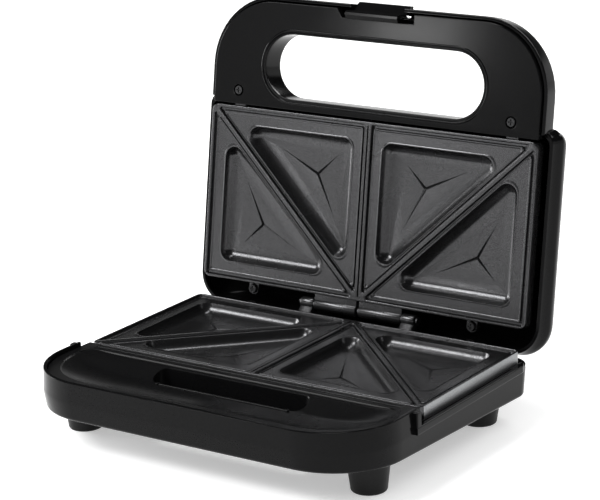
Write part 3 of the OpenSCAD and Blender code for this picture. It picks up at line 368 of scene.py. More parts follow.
SHEET = finish_of("sheet_aluminium", (0.6, 0.6, 0.61), (0.72, 0.72, 0.73), (0.25, 0.35), 800,
                  0.00002, metallic=1.0, stretch=(0.05, 1, 1))
RUBBER = finish_of("rubber", (0.003, 0.003, 0.003), (0.006, 0.006, 0.006), (0.4, 0.5), 1800,
                   0.00004, specular=0.2)
CERAMIC = finish_of("ceramic", (0.72, 0.69, 0.62), (0.85, 0.82, 0.76), (0.5, 0.6), 1200, 0.00003)


def lens_material(name, colour):
    """Tinted clear plastic or glass with a faint ripple."""
    material, tree, bsdf = shader(name)
    bsdf.inputs["Transmission Weight"].default_value = 0.6
    bsdf.inputs["IOR"].default_value = 1.49
    ripple = noise(tree, 600, 2.0)
    tint(tree, ripple, tuple(0.8 * c for c in colour), colour, bsdf.inputs["Base Color"])
    spread(tree, ripple, 0.08, 0.14, bsdf.inputs["Roughness"])
    return material


LENS_AMBER = lens_material("lens_amber", (0.85, 0.28, 0.04))
LENS_GREEN = lens_material("lens_green", (0.08, 0.5, 0.12))
LAMP_GLASS = lens_material("lamp_glass", (0.85, 0.85, 0.85))

# ---------- Cooking plates ----------

PLATE_R = 4
SKIRT_H = 8
PAN_DEPTH = 9.6
PAN_R = 2
LAND_Z = -1.2
POCKET_R = 6.5
GUTTER_R = 1.2
FLOOR_Z = -7.2
FLOOR_RISE = 0.5
RIM_T = 1.6
RIDGE_W = 4.6
SLIT_W = 0.9
DIAGONAL_W = 2.6
EDGE_LAND = 11
RIDGE_LAND = 10
DIAGONAL_LAND = 4.2
STAR_SHARE = 0.37
STAR_HALF_W = 0.9
STAR_DEPTH = 0.8
UNDER_Z = LAND_Z - CAST_T

INNER_CORNER = (0, -PLATE_FRONT)
OUTER_CORNER = (PLATE_W / 2, -PLATE_FRONT)
HINGE_CORNER = (0, -HINGE_BACK)
BACK_CORNER = (PLATE_W / 2, -HINGE_BACK)

# Each cell: its corners, its ridges' half widths, how far the gutter's profile is stretched at
# each side, and its pocket's distances from the same lines
CELLS = [
    ([INNER_CORNER, OUTER_CORNER, HINGE_CORNER], (RIM_T, DIAGONAL_W / 2, RIDGE_W / 2),
     (1.9, 1, 1.3), (EDGE_LAND, DIAGONAL_LAND, RIDGE_LAND)),
    ([OUTER_CORNER, BACK_CORNER, HINGE_CORNER], (RIM_T, RIM_T, DIAGONAL_W / 2),
     (1.9, 1.9, 1), (EDGE_LAND, EDGE_LAND, DIAGONAL_LAND)),
]

# From a ridge's top down to the gutter, over a fine inner line, and on to the land: distance, height
GUTTER = [(-0.3, 0), (-0.1, -0.06), (0, -0.3), (0.1, -1.9), (0.25, -2.2), (0.8, -2.2),
          (0.95, -1.9), (1.0, -0.95), (1.08, -0.75), (1.35, -0.75), (1.5, -1.05), (1.7, LAND_Z),
          (1.8, LAND_Z)]
# From the land over a fine bead to the pocket's wall
BEAD = [(-1.0, LAND_Z), (-0.9, LAND_Z), (-0.65, -1.0), (-0.35, -0.92), (-0.12, -1.0), (0, -1.35)]


def mirrored(points, side):
    """The outline on the other half of the plate, still counter-clockwise."""
    return points if side > 0 else [(-x, y) for x, y in reversed(points)]


def star_floor(form, corners, ring, side):
    """Three shallow facets with tapered grooves pressed between them."""
    aims = [Vector((side * x, y)) for x, y in corners]
    aims = aims if side > 0 else aims[::-1]
    middle = sum(aims, Vector((0, 0))) / 3
    tips = [middle + (a - middle) * STAR_SHARE for a in aims]
    ways = [(a - middle).normalized() for a in aims]
    bottom = form.mesh.verts.new((*middle, FLOOR_Z - STAR_DEPTH))
    tip_verts = [form.mesh.verts.new((*t, FLOOR_Z + FLOOR_RISE * STAR_SHARE)) for t in tips]
    inner = []
    for i in range(3):
        between = ways[i] + ways[(i + 1) % 3]
        half_angle = ways[i].angle(ways[(i + 1) % 3]) / 2
        place = middle + between.normalized() * (STAR_HALF_W / math.sin(half_angle))
        inner.append(form.mesh.verts.new((*place, FLOOR_Z)))
    nearest = [min(range(len(ring)), key=lambda k: (ring[k].co.xy - a).length) for a in aims]
    for i in range(3):
        j = (i + 1) % 3
        stretch = [ring[k % len(ring)] for k in range(nearest[i], nearest[j] + 1
                   + (len(ring) if nearest[j] < nearest[i] else 0))]
        form.mesh.faces.new([inner[i], tip_verts[i], *stretch, tip_verts[j]])
        form.mesh.faces.new((bottom, tip_verts[i], inner[i]))
        form.mesh.faces.new((bottom, inner[i], tip_verts[j]))


def cell_rings(form, cell, side):
    """One triangular half of a pocket pair, from its ridge tops down to its floor."""
    corners, ridges, stretch, lands = cell

    def loop(insets, r, z):
        return form.ring(mirrored(triangle(corners, insets, r), side), z)

    gutter = [loop([w + s * k for w, k in zip(ridges, stretch)], GUTTER_R, z)
              for s, z in GUTTER]
    form.skin(gutter)
    bead = [loop([w + s for w in lands], POCKET_R, z) for s, z in BEAD]
    form.skin(bead)
    form.cap(gutter[-1], bead[0])
    fillet = [bead[-1]]
    for turn in range(20, 81, 10):
        a = math.radians(turn)
        reach = POCKET_R * math.cos(a)
        z = FLOOR_Z + FLOOR_RISE + POCKET_R * (1 - math.sin(a))
        fillet.append(loop([w + POCKET_R - reach for w in lands], reach, z))
    form.skin(fillet)
    star_floor(form, corners, fillet[-1], side)
    return gutter[0]


def pan(form, cell, side):
    """Underside of a pocket."""
    corners, _, _, lands = cell
    grown = mirrored(triangle(corners, [w - CAST_T for w in lands], POCKET_R), side)
    rings = form.walls(grown, [(0, UNDER_Z), (0, PAN_R - PAN_DEPTH),
                               (-0.3 * PAN_R, 0.3 * PAN_R - PAN_DEPTH), (-PAN_R, -PAN_DEPTH)])
    form.cap(rings[-1])
    return rings[0]


def plate_mesh():
    """The form that both plates share."""
    form = Form()
    middle = (0, -HINGE_BACK - PLATE_D / 2)
    outline = round_box(PLATE_W, PLATE_D, PLATE_R, middle, 8)
    outside = form.walls(outline, lower_edge(-SKIRT_H, 0.5) + upper_edge(0, 0.5))
    slit = form.walls(round_box(SLIT_W, PLATE_D - 3 * RIM_T, 0.4, middle, 4),
                      [(0.15, 0), (0, -0.15), (-0.05, -2.2)])
    form.cap(slit[-1])
    cells = [cell_rings(form, cell, side) for side in (1, -1) for cell in CELLS]
    form.cap(outside[-1], slit[0], *cells)
    inner = round_box(PLATE_W - 2 * CAST_T, PLATE_D - 2 * CAST_T, PLATE_R / 2, middle, 8)
    inside = form.walls(inner, [(0, -SKIRT_H), (0, UNDER_Z)])
    form.skin([outside[0], inside[0]])
    form.cap(inside[-1], *[pan(form, cell, side) for side in (1, -1) for cell in CELLS])
    lugs(form)
    return form


KNUCKLE_R = 3.5
LONG_KNUCKLE = (0.9, 29.9)
END_KNUCKLE = (30.3, 38.9)
LUG_Z = -5.8
LUG_T = 2.4
# Each pair of lugs: distance from the middle line, outer and inner end along Y, radius
LUGS = [(*FRONT_SCREW, 1 - PLATE_FRONT, 3.8), (75, -2.6, -HINGE_BACK - 1, 3.3)]


def lugs(form):
    """Lugs for the fixing screws, on the plate's front and rear skirts."""
    for side in (1, -1):
        for x, y0, y1, r in LUGS:
            outline = round_box(2 * r, abs(y1 - y0) + 2 * r, r - 0.2, (side * x, (y0 + y1) / 2), 6)
            form.solid(outline, [(0, LUG_Z), (0, LUG_Z + LUG_T)])


def knuckles(form, outline, ends):
    """A pair of hinge knuckles, drawn along X from an outline of (y, z) points."""
    for side in (1, -1):
        x0, x1 = sorted(side * x for x in ends)
        form.extrusion(outline, x0, x1, 0.5)


def lower_knuckles(form):
    ring = arc(0, LOWER_RISE, KNUCKLE_R, -24, 228, 24)
    web = [(-HINGE_BACK, -0.8), (-HINGE_BACK, -SKIRT_H + 0.4), (CAST_T - HINGE_BACK, -SKIRT_H + 0.4)]
    knuckles(form, ring + web, END_KNUCKLE)


def upper_knuckles(form):
    ring = arc(0, UPPER_RIM, KNUCKLE_R, -90, 235, 24)
    web = [(-HINGE_BACK, UPPER_RIM + 2), (-HINGE_BACK, UPPER_RIM - KNUCKLE_R)]
    knuckles(form, ring + web, LONG_KNUCKLE)


def bare_skirt(piece, placement):
    """Leaves the outside of the side skirts uncoated."""
    piece.data.materials.append(BARE_CAST)
    inverse = placement.inverted()
    for face in piece.data.polygons:
        low = min((inverse @ piece.data.vertices[v].co).z for v in face.vertices)
        outside = abs((inverse @ face.center).x) > PLATE_W / 2 - 0.3
        if outside and low < -0.4:
            face.material_index = 1


def plates():
    """Both plates, shaded so that the pockets' fillets roll into their floors."""
    form = plate_mesh()
    lower_knuckles(form)
    lower = form.finish("lower_plate_casting", LOWER, "base", "coated_plate", NONSTICK,
                        "lower_plate", even=False)
    bare_skirt(lower, LOWER)
    form = plate_mesh()
    upper_knuckles(form)
    form.finish("upper_plate_casting", UPPER, "lid", "coated_plate", NONSTICK,
                "upper_plate", even=False)


# ---------- Base ----------

BELLY_HALF = 113.3
BELLY_Z = 28.4
FLANGE_Z = 32.9
FLANGE_OUT = 115.4
FLANGE_IN = 111.2
FLANGE_END = 6
STEP_REACH = 123.2
STEP_END = 4.5 - STEP_REACH
REAR_CUT = -FLANGE_END - 14
BASE_RIM_Z = 41.5
LEDGE_Z = 30.4
BOTTOM_FRONT_Z = 19
BOTTOM_BACK_Z = 12
BACK_REACH = 4
BACK_R = 14
DRAFT = 1.1
BOTTOM_R = 2.2
EDGE_R = 0.6
# The floor's upper face is the walls' foot drawn in to this share
FLOOR_SHARE = 0.97
# Openings in the floor: width, depth and corner radius
FLOOR_OPENING = (104.6, 31.6, 9.3)
FLOOR_OPENING_Y = -139
VENT = (3, 32, 1.4)
VENT_PITCH = 16
VENT_Y = -62
CASE_SCREW = (84, -157)
CASE_SCREW_R = 1.65


def underside(y):
    """Height of the base's sloping bottom."""
    slope = (BOTTOM_BACK_Z - BOTTOM_FRONT_Z) / (FRONT_REACH + BACK_REACH)
    return BOTTOM_FRONT_Z + slope * (y + FRONT_REACH)


def base_level(form, half, inset, z):
    """One ring round the base, with points where its walls are cut back."""
    r = FRONT_R - inset
    outline = plan(half - inset, FRONT_REACH - inset, BACK_REACH - inset, r,
                   BACK_R - inset, 14, (STEP_END, -STEP_REACH, REAR_CUT))
    return form.ring(outline, z)


def cut_back(y, z):
    """Whether the walls leave this place out, behind the step or, lower down, at the rear."""
    behind_step = y > STEP_END - NEAR and z > FLANGE_Z - NEAR
    return behind_step or (y > REAR_CUT - NEAR and z > LEDGE_Z - NEAR)


def middle_y(ring, i):
    return (ring[i].co.y + ring[(i + 1) % len(ring)].co.y) / 2


def standing(rings):
    """Tells which quads between the rings aren't cut back."""
    return lambda k, i: not cut_back(middle_y(rings[k], i), rings[k][i].co.z)


def cut_edges(form, outer, inner):
    """Flat tops of the walls where they are cut back, and the step's upright edges."""
    for k in range(len(inner) - 1):
        for i in range(len(inner[k])):
            j = (i + 1) % len(inner[k])
            y = middle_y(inner[k], i)
            below = k > 0 and cut_back(y, inner[k - 1][i].co.z)
            if cut_back(y, inner[k][i].co.z) and not below:
                form.mesh.faces.new((outer[k][i], outer[k][j], inner[k][j], inner[k][i]))
    for i, v in enumerate(inner[-1]):
        if abs(v.co.y - STEP_END) < NEAR:
            form.mesh.faces.new((outer[-2][i], inner[-2][i], inner[-1][i], outer[-1][i]))


def base_shell():
    form = Form()
    outer, inner = [], []
    for a in range(0, 91, 18):
        turn = math.radians(a)
        rise = BOTTOM_R * (1 - math.cos(turn))
        inset = DRAFT + BOTTOM_R * (1 - math.sin(turn))
        outer.append(base_level(form, BELLY_HALF, inset, lambda x, y: underside(y) + rise))
    for z, half in [(BELLY_Z, BELLY_HALF), (LEDGE_Z, BELLY_HALF - 0.1), (FLANGE_Z, BODY_HALF + 0.5),
                    (BASE_RIM_Z - EDGE_R, BODY_HALF)]:
        outer.append(base_level(form, half, 0, z))
        inner.append(base_level(form, half, WALL, z))
    form.skin(outer, standing(outer))
    form.skin(inner, standing(inner))
    rim = [outer[-1], base_level(form, BODY_HALF, 0.3 * EDGE_R, BASE_RIM_Z - 0.3 * EDGE_R),
           base_level(form, BODY_HALF, EDGE_R, BASE_RIM_Z),
           base_level(form, BODY_HALF, WALL - 0.3, BASE_RIM_Z), inner[-1]]
    form.skin(rim, standing(rim))
    cut_edges(form, outer[-len(inner):], inner)
    bottom_holes(form, outer[0], inner[0])
    flanges(form)
    form.finish("base_housing", BASE, "base", "housing", GLOSS_BLACK, "base_shell")


def bottom_holes(form, bottom, wall_foot):
    """Floor of the base, with its finger opening, screw holes and slots."""
    inner_floor = form.points([(v.co.x * FLOOR_SHARE, v.co.y * FLOOR_SHARE, underside(v.co.y) + WALL)
                               for v in wall_foot])
    form.skin([wall_foot, inner_floor])
    outlines = [round_box(*FLOOR_OPENING, (0, FLOOR_OPENING_Y))]
    outlines += [round_box(*VENT, (VENT_PITCH * k, VENT_Y)) for k in range(-2, 3)]
    outlines += [circle(SCREW_HEAD_R, (side * FRONT_SCREW[0], FRONT_SCREW[1])) for side in (1, -1)]
    outlines += [circle(CASE_SCREW_R, (side * CASE_SCREW[0], CASE_SCREW[1]), 16) for side in (1, -1)]
    below, above = [], []
    for outline in outlines:
        low = form.ring(outline, lambda x, y: underside(y))
        high = form.ring(outline, lambda x, y: underside(y) + WALL)
        form.skin([low, high])
        below.append(low)
        above.append(high)
    form.cap(bottom, *below)
    form.cap(inner_floor, *above)


def flanges(form):
    """Band along each side of the plate, with the rib that rises from it at the step."""
    corner_r = 8
    width = FLANGE_OUT - FLANGE_IN
    end_turn = math.degrees(math.acos((corner_r - width) / corner_r))
    for side in (1, -1):
        rear = arc(FLANGE_OUT - corner_r, -FLANGE_END - corner_r, corner_r, 0, end_turn, 8)
        band = rear + [(FLANGE_IN, -STEP_REACH), (FLANGE_OUT, -STEP_REACH)]
        form.solid(mirrored(band, side), lower_edge(BELLY_Z, 1.1) + upper_edge(FLANGE_Z, 0.7))
        x0, x1 = sorted((side * FLANGE_IN, side * (FLANGE_OUT - 0.15)))
        form.block((x0, 0.15 - STEP_REACH, FLANGE_Z - 1.5), (x1, STEP_END, BASE_RIM_Z - 0.5), 0.7)


DECK_Z = 39.5
DECK_T = 2.2
TUBE_DROP = 16
BOWL_STEPS = 14
BOWL_CROWDING = 1.7
BOWL_COVE = 3.2
DECK_HALF = 109.9
DECK_FRONT = 173.5
DECK_BACK = PLATE_FRONT + 1.2
DECK_R = FRONT_R - WALL
BOWL_HALF = 104
BOWL_FRONT = 165.6
BOWL_BACK = PLATE_FRONT + 9.2
BOWL_R = 34
BOWL_REAR_R = 9
HOLE_HALF = 50
HOLE_FRONT = 134.5
HOLE_BACK = PLATE_FRONT + 11.3
HOLE_R = 5.5
HOLE_REAR_Z = 38.1
HOLE_FRONT_Z = 33.2
GROOVE_PITCH = 2.9
GROOVE_W = 1.1
LATCH_SLOT_HALF = 18.1
LATCH_EDGE = 168.6
LIP_HALF = 43
LIP_R = 0.7
PIP_R = 1.1


def deck_outline(half, front):
    """The deck, with the slot for the latch's tooth in its front edge."""
    slot = [-LATCH_SLOT_HALF, LATCH_SLOT_HALF]
    points = plan(half, front, -DECK_BACK, DECK_R - DECK_HALF + half, 1, 14, (), slot)
    left = next(i for i, p in enumerate(points) if abs(p[0] + LATCH_SLOT_HALF) < NEAR)
    cut = [(-LATCH_SLOT_HALF, -LATCH_EDGE), (LATCH_SLOT_HALF, -LATCH_EDGE)]
    return points[:left + 1] + cut + points[left + 1:]


def bowl_floor(y):
    """Height of the bowl's bottom: it climbs to the rear, where the opening's upper edge is."""
    share = min(max((-y - HOLE_BACK) / (HOLE_FRONT - HOLE_BACK), 0), 1)
    return HOLE_REAR_Z + (HOLE_FRONT_Z - HOLE_REAR_Z) * share


def bowl_ring(form, edge, hole, share, drop):
    """One ring between the bowl's edge and its opening, on a cove that dies out in the floor."""
    cove = (1 - share) ** BOWL_COVE
    places = []
    for (x0, y0), (x1, y1) in zip(edge, hole):
        x, y = x0 + (x1 - x0) * share, y0 + (y1 - y0) * share
        low = bowl_floor(y)
        places.append((x, y, low + (DECK_Z - 0.5 - low) * cove - drop))
    return form.points(places)


def bowl(form):
    """The bowl's two sides and the opening's tube; gives its rings in the deck's two faces."""
    edge = plan(BOWL_HALF, BOWL_FRONT, -BOWL_BACK, BOWL_R, BOWL_REAR_R, 14)
    hole = plan(HOLE_HALF, HOLE_FRONT, -HOLE_BACK, HOLE_R, HOLE_R, 14)
    shares = [(k / BOWL_STEPS) ** BOWL_CROWDING for k in range(BOWL_STEPS + 1)]
    top = [form.ring(grow(edge, 0.7), DECK_Z), form.ring(grow(edge, 0.3), DECK_Z - 0.12)]
    top += [bowl_ring(form, edge, hole, share, 0) for share in shares]
    for inset, drop in [(0.12, 0.15), (0.3, 0.5), (0.3, TUBE_DROP)]:
        top.append(form.points([(x, y, bowl_floor(y) - drop) for x, y in grow(hole, -inset)]))
    under = [form.ring(grow(edge, 0.5), DECK_Z - DECK_T)]
    under += [bowl_ring(form, edge, hole, share * 0.96, DECK_T) for share in shares]
    collar = grow(hole, 1.6)
    under.append(form.points([(x, y, bowl_floor(y) - TUBE_DROP) for x, y in collar]))
    form.skin(top + under[::-1])
    return top[0], under[0]


def base_deck():
    form = Form()
    outline = deck_outline(DECK_HALF, DECK_FRONT)
    under = form.ring(grow(outline, -0.1), DECK_Z - DECK_T)
    rings = form.walls(outline, [(0, DECK_Z - DECK_T)] + upper_edge(DECK_Z, 0.4))
    form.skin([under, rings[0]])
    grooves = []
    for i in range(2):
        y = -DECK_BACK - 2 - GROOVE_PITCH * i
        groove = form.walls(round_box(2 * BOWL_HALF - 6, GROOVE_W, 0.5, (0, y), 3),
                            [(0.25, DECK_Z), (0, DECK_Z - 0.25), (-0.1, DECK_Z - 1)])
        form.cap(groove[-1])
        grooves.append(groove[0])
    top, bottom = bowl(form)
    form.cap(under, bottom)
    form.cap(rings[-1], top, *grooves)
    finger_lip(form)
    form.finish("base_deck_moulding", BASE, "base", "deck", SATIN_BLACK, "base_deck")


def finger_lip(form):
    """Raised bead along the opening's front edge, with a small pip at each end."""
    y = -HOLE_FRONT - PIP_R
    z = HOLE_FRONT_Z
    bead = [(y + LIP_R * math.cos(math.radians(a)), z + LIP_R * math.sin(math.radians(a)))
            for a in range(0, 360, 30)]
    form.extrusion(bead, -LIP_HALF, LIP_HALF, 0.3)
    for side in (1, -1):
        form.solid(circle(PIP_R, (side * LIP_HALF, y), 20), [(0, z - 0.5)] + upper_edge(z + 1, 0.5))


# ---------- Lid ----------

LID_RIM_Z = -0.7
LID_EDGE_Z = 3.3
LID_STEP = 116.2
LID_BACK = 11
LID_CORNER_R = 18
CROWN_HALF = 116
CROWN_SWELL = 2.6
CROWN_H = 31
CROWN_Z = 11.8
CROWN_ROUND = 34
CROWN_FRONT_R = 7
HANDLE_TOP = 13.4
HANDLE_ROUND = 5
HANDLE_DRAFT = 0.4
PANEL_Z = -2.6
GRIP_W = 147
GRIP_H = 37.6
GRIP_AT = (0, -136.5)
# Turns at which the handle's rounded edge has its levels, above the two of its wall
HANDLE_TURNS = (15, 33.4, 50, 70, 90)
# The latch's slot ends at this level
SLOT_LEVEL = 3
SLOT_HALF = 18
# Above this height the inner skin is set down by the wall
SET_DOWN_Z = 10.6
# The crown's flat top: half width, middle along Y, half depth, front and rear corner radii
TOP_HALF = CROWN_HALF + CROWN_SWELL - CROWN_ROUND
TOP_Y = -47.5
TOP_REACH = 38.1
TOP_FRONT_R = 24
TOP_REAR_R = 23.7


def crown_ring(form, t, w):
    """One level of the crowned top: t runs from 0 at the widest line to 90 at the top."""
    turn = math.radians(t)
    inset = CROWN_ROUND * (1 - math.cos(turn))
    z = CROWN_Z + (CROWN_H - 0.5 - w - CROWN_Z) * math.sin(turn)
    outline = plan(CROWN_HALF + CROWN_SWELL - inset - w, LID_STEP - 0.9 * inset - w,
                   LID_BACK - 0.6 * inset - w, CROWN_FRONT_R + inset / 2,
                   LID_CORNER_R - w + inset / 6, 12)
    return form.ring(outline, z)


def crown_edge(form, w, z, out=0.0):
    """One level of the crown's lower edge, moved in by w and flared by out."""
    outline = plan(CROWN_HALF + out - w, LID_STEP + out / 2 - w, LID_BACK - 1 + out / 2 - w,
                   CROWN_FRONT_R, LID_CORNER_R - w, 12)
    return form.ring(outline, z)


def crown(form):
    """Domed part over the plates: outer skin, rounded lower edge, inner skin."""
    flare = [0.3, 1.4, 2.2]
    rings = [crown_edge(form, 0, LID_EDGE_Z + 0.6)]
    rings += [crown_edge(form, 0, LID_EDGE_Z + z, out) for z, out in zip((2.4, 5, 7), flare)]
    rings += [crown_ring(form, t, 0) for t in range(0, 91, 9)]
    for share, drop in [(0.6, 0.2), (0.25, 0.03)]:
        reach = TOP_REACH * share
        top = plan(TOP_HALF * share, reach - TOP_Y, reach + TOP_Y, TOP_FRONT_R * share,
                   TOP_REAR_R * share, 12)
        rings.append(form.ring(top, CROWN_H - drop))
    form.skin(rings)
    form.cap(rings[-1])
    lower = [rings[0], crown_edge(form, 0.2, LID_EDGE_Z + 0.15), crown_edge(form, 0.7, LID_EDGE_Z),
             crown_edge(form, WALL - 0.3, LID_EDGE_Z), crown_edge(form, WALL, LID_EDGE_Z + 0.3)]
    inner = [lower[-1]] + [crown_ring(form, t, WALL) for t in range(0, 91, 18)]
    form.skin(lower)
    form.skin(inner)
    form.cap(inner[-1])


def handle_ring(form, w, inset, z):
    """One level of the handle's outline, moved in by w and inset."""
    marks = (-SLOT_HALF, SLOT_HALF)
    back = WALL * 0.8 - LID_STEP
    outline = plan(BODY_HALF - w - inset, FRONT_REACH - w - inset, back, FRONT_R - w - inset, 1, 14,
                   (), marks)
    return form.ring(outline, z)


def handle_levels():
    """(inset, height) of each level, up the wall and over its rounded edge."""
    levels = [(0, LID_RIM_Z + 0.7), (HANDLE_DRAFT, HANDLE_TOP - HANDLE_ROUND)]
    for a in HANDLE_TURNS:
        turn = math.radians(a)
        levels.append((HANDLE_DRAFT + HANDLE_ROUND * (1 - math.cos(turn)),
                       HANDLE_TOP - HANDLE_ROUND * (1 - math.sin(turn))))
    return levels


def latch_slot_edges(form, outer, inner, i):
    """The slot's two upright edges and its upper one, between the outer and inner skins."""
    j = i + 1
    for k in range(SLOT_LEVEL):
        form.mesh.faces.new((outer[k][i], inner[k][i], inner[k + 1][i], outer[k + 1][i]))
        form.mesh.faces.new((outer[k][j], outer[k + 1][j], inner[k + 1][j], inner[k][j]))
    outside, inside = outer[SLOT_LEVEL], inner[SLOT_LEVEL]
    form.mesh.faces.new((outside[i], inside[i], inside[j], outside[j]))


def grip_tube(form):
    """The tube round the grip's opening; gives its rings in the top's two faces."""
    grip = stadium(GRIP_W, GRIP_H, GRIP_AT)
    tube = form.walls(grip, [(1.6, HANDLE_TOP), (0.7, HANDLE_TOP - 0.25), (0.2, HANDLE_TOP - 0.8),
                             (0, HANDLE_TOP - 1.6), (0, PANEL_Z + WALL)])
    outside = form.walls(grip, [(1.8, PANEL_Z + WALL), (1.8, HANDLE_TOP - WALL)])
    form.skin([tube[-1], outside[0]])
    return tube[0], outside[-1]


def handle(form):
    """Flat part that carries the handle: outer and inner skins, slotted for the latch."""
    outer, inner = [], []
    for inset, z in handle_levels():
        outer.append(handle_ring(form, 0, inset, z))
        inner.append(handle_ring(form, WALL, inset * 0.8, z - WALL if z > SET_DOWN_Z else z))
    slot_cell = next(i for i, v in enumerate(outer[0])
                     if abs(v.co.x) < SLOT_HALF + NEAR and v.co.y < NEAR - FRONT_REACH)

    def keep(k, i):
        return i != slot_cell or k >= SLOT_LEVEL

    form.skin(outer, keep)
    form.skin(inner, keep)
    rim = [outer[0], handle_ring(form, 0, 0.2, LID_RIM_Z + 0.2), handle_ring(form, 0, 0.7, LID_RIM_Z),
           handle_ring(form, 0, WALL - 0.4, LID_RIM_Z), inner[0]]
    form.skin(rim, lambda k, i: i != slot_cell)
    latch_slot_edges(form, outer, inner, slot_cell)
    top, under = grip_tube(form)
    form.cap(outer[-1], top)
    form.cap(inner[-1], under)


def lid_shell():
    form = Form()
    crown(form)
    handle(form)
    form.finish("lid_housing", LID, "lid", "housing", GLOSS_BLACK, "lid_shell")


PANEL_HALF = 109.6
PANEL_FRONT = 173.2
PANEL_BACK = 111.4
PANEL_R = 39.2
PANEL_T = 2.2
# The latch's notch: outer left, inner left and right ends along X, and its depth along Y
NOTCH = (-26.4, -22.5, 25.5)
NOTCH_BACK = 168
# Raised lip round the grip, from the cover's face to its opening: distance, Z from the face
GRIP_LIP = [(3.1, 0), (2.9, -0.25), (2.6, -0.4), (2.1, -0.4), (1.8, -0.2), (1.6, 0.1), (1.2, 0.1),
            (1.0, -0.05), (0.45, -0.05), (0.12, 0.1), (0, 0.5), (0, PANEL_T)]
# Recess round a cover screw, from its rim to its floor: distance, Z from the face
RECESS = [(0.6, 0), (0.15, 0.1), (0, 0.5), (0, 1.9)]


def panel_outline():
    """The cover, with the notch that clears the latch."""
    points = plan(PANEL_HALF, PANEL_FRONT, -PANEL_BACK, PANEL_R, 1, 14, (), (NOTCH[0], NOTCH[2]))
    left = next(i for i, p in enumerate(points) if abs(p[0] - NOTCH[0]) < NEAR)
    cut = [(NOTCH[1], -NOTCH_BACK), (NOTCH[2], -NOTCH_BACK)]
    return points[:left + 1] + cut + points[left + 1:]


def lid_panel():
    form = Form()
    outline = panel_outline()
    flange = [(-1.8, PANEL_Z + 5), (0, PANEL_Z + 5)]
    face = form.walls(outline, flange + lower_edge(PANEL_Z, 0.6)[::-1])
    inside = form.ring(grow(outline, -1.8), PANEL_Z + PANEL_T)
    form.skin([face[0], inside])
    grip = stadium(GRIP_W, GRIP_H, GRIP_AT)
    lip = form.walls(grip, [(d, PANEL_Z + h) for d, h in GRIP_LIP])
    recesses = []
    for side in (1, -1):
        place = (side * FRONT_SCREW[0], FRONT_SCREW[1])
        rings = form.walls(circle(SCREW_HEAD_R, place), [(d, PANEL_Z + h) for d, h in RECESS])
        form.cap(rings[-1])
        recesses.append(rings[0])
    form.cap(face[-1], lip[0], *recesses)
    form.cap(inside, lip[-1])
    form.finish("lid_cover_panel", LID, "lid", "housing", GLOSS_BLACK, "lid_panel")


# ---------- CAD nodes that keep their own shape ----------


def dress(node, material, bevel_mm=0.0):
    """Gives a CAD node its material, and softens its edges."""
    piece = frame["nodes"][node]
    piece.data.materials.clear()
    piece.data.materials.append(material)
    if bevel_mm:
        weld = piece.modifiers.new("weld", "WELD")
        weld.merge_threshold = 1e-6
        bevel = piece.modifiers.new("bevel", "BEVEL")
        bevel.width = bevel_mm * MM
        bevel.segments = 3
        bevel.limit_method = "ANGLE"
        bevel.angle_limit = math.radians(40)
        bevel.harden_normals = True


def carried_over():
    for side in ("front_left", "front_right", "rear_left", "rear_right"):
        dress(f"foot_{side}", RUBBER)
    for node in ("base_screws", "latch_pin", "latch_spring", "fuse_clip", "thermal_fuse"):
        dress(node, STEEL)
    for half in ("lower", "upper"):
        dress(f"{half}_element", DARK_STEEL)
        dress(f"{half}_plate_screws", DARK_STEEL)
        dress(f"{half}_insulators", CERAMIC)
        dress(f"{half}_clamps", STEEL)
        dress(f"{half}_clamp_screws", STEEL)
        dress(f"{half}_reflector", SHEET)
    for node in ("panel_screws", "hinge_pin"):
        dress(node, DARK_STEEL)
    for node in ("thermostat", "terminal_block"):
        dress(node, CERAMIC)
    dress("cord_bush", RUBBER)
    dress("latch", GLOSS_BLACK, 0.45)
    dress("power_lens", LENS_AMBER)
    dress("ready_lens", LENS_GREEN)
    for node in ("power_lamp", "ready_lamp"):
        dress(node, LAMP_GLASS)


plates()
base_shell()
base_deck()
lid_shell()
lid_panel()
carried_over()

# ---------- Stage ----------

CENTRE = (0, 0, 0.1)
FLOOR_REACH = 6
FLOOR_GLOW = 0.42
AMBIENT = 0.55
# The backdrop is white up to the first Z of the direction looked in, and dark from the second
CEILING = 0.02
CEILING_FROM = 0.14
CEILING_FULL = 0.24


def seen_rays(tree):
    """1 for rays that show the background: straight to the camera, mirrored or through glass."""
    path = tree.nodes.new("ShaderNodeLightPath")
    seen = path.outputs["Is Camera Ray"]
    for kind in ("Is Glossy Ray", "Is Transmission Ray"):
        either = tree.nodes.new("ShaderNodeMath")
        either.operation = "MAXIMUM"
        tree.links.new(seen, either.inputs[0])
        tree.links.new(path.outputs[kind], either.inputs[1])
        seen = either.outputs["Value"]
    return seen


def floor():
    """White floor that keeps the object's shadow."""
    material, tree, bsdf = shader("floor")
    bsdf.inputs["Base Color"].default_value = (0.86, 0.86, 0.86, 1)
    bsdf.inputs["Roughness"].default_value = 0.8
    bsdf.inputs["Specular IOR Level"].default_value = 0.1
    glow = tree.nodes.new("ShaderNodeMath")
    glow.operation = "MULTIPLY"
    glow.inputs[1].default_value = FLOOR_GLOW
    tree.links.new(seen_rays(tree), glow.inputs[0])
    bsdf.inputs["Emission Color"].default_value = (1, 1, 1, 1)
    tree.links.new(glow.outputs["Value"], bsdf.inputs["Emission Strength"])
    mesh = bpy.data.meshes.new("floor")
    corners = [(FLOOR_REACH * x, FLOOR_REACH * y, 0) for x, y in ((-1, -1), (1, -1), (1, 1), (-1, 1))]
    mesh.from_pydata(corners, [], [(0, 1, 2, 3)])
    mesh.materials.append(material)
    plane = bpy.data.objects.new("floor", mesh)
    bpy.context.scene.collection.objects.link(plane)


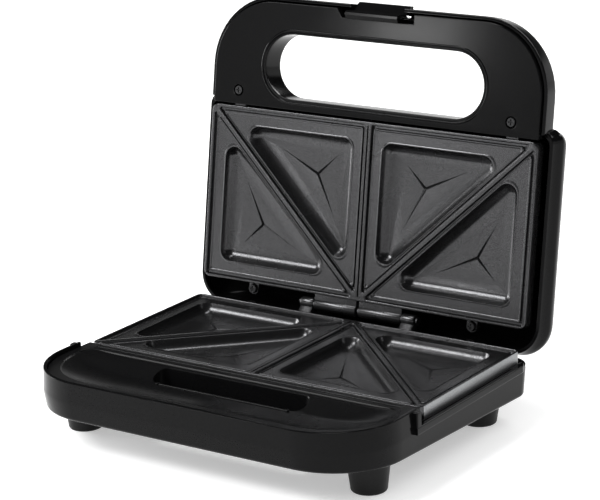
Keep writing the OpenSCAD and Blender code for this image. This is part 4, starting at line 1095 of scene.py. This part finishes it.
def surroundings():
    """White backdrop all round, a dark room over it, and an even soft light from all sides."""
    world = bpy.data.worlds.new("studio")
    bpy.context.scene.world = world
    world.use_nodes = True
    tree = world.node_tree
    background = tree.nodes["Background"]
    background.inputs["Strength"].default_value = 1.0
    coords = tree.nodes.new("ShaderNodeTexCoord")
    axes = tree.nodes.new("ShaderNodeSeparateXYZ")
    ramp = tree.nodes.new("ShaderNodeValToRGB")
    ramp.color_ramp.elements[0].position = CEILING_FROM
    ramp.color_ramp.elements[0].color = (1, 1, 1, 1)
    ramp.color_ramp.elements[1].position = CEILING_FULL
    ramp.color_ramp.elements[1].color = (CEILING, CEILING, CEILING, 1)
    mix = tree.nodes.new("ShaderNodeMix")
    mix.data_type = "RGBA"
    tree.links.new(coords.outputs["Generated"], axes.inputs["Vector"])
    tree.links.new(axes.outputs["Z"], ramp.inputs["Fac"])
    tree.links.new(seen_rays(tree), mix.inputs["Factor"])
    mix.inputs["A"].default_value = (AMBIENT, AMBIENT, AMBIENT, 1)
    tree.links.new(ramp.outputs["Color"], mix.inputs["B"])
    tree.links.new(mix.outputs["Result"], background.inputs["Color"])


def softbox(name, place, aim, width, height, watts):
    """Rectangular soft lamp that faces the point it aims at."""
    data = bpy.data.lights.new(name, "AREA")
    data.shape = "RECTANGLE"
    data.size = width
    data.size_y = height
    data.energy = watts
    lamp = bpy.data.objects.new(name, data)
    bpy.context.scene.collection.objects.link(lamp)
    lamp.location = place
    lamp.rotation_mode = "QUATERNION"
    lamp.rotation_quaternion = (Vector(place) - Vector(aim)).to_track_quat("Z", "Y")


floor()
surroundings()
softbox("overhead", (-0.4, 0.1, 1.5), CENTRE, 1.2, 0.3, 9)
softbox("front_left", (-0.9, -0.9, 1.2), CENTRE, 0.8, 0.5, 20)
softbox("left", (-1.4, -0.2, 0.27), CENTRE, 0.6, 0.45, 10)
softbox("right", (1.6, 0.1, 0.6), CENTRE, 0.1, 1.0, 1.5)
softbox("rear", (0.3, 1.3, 1.0), CENTRE, 1.6, 0.35, 12)
softbox("grip_strip", (-0.72, -1.14, 0.33), (0, 0.08, 0.2), 0.1, 0.12, 0.75)

bpy.context.scene.view_settings.view_transform = "Standard"
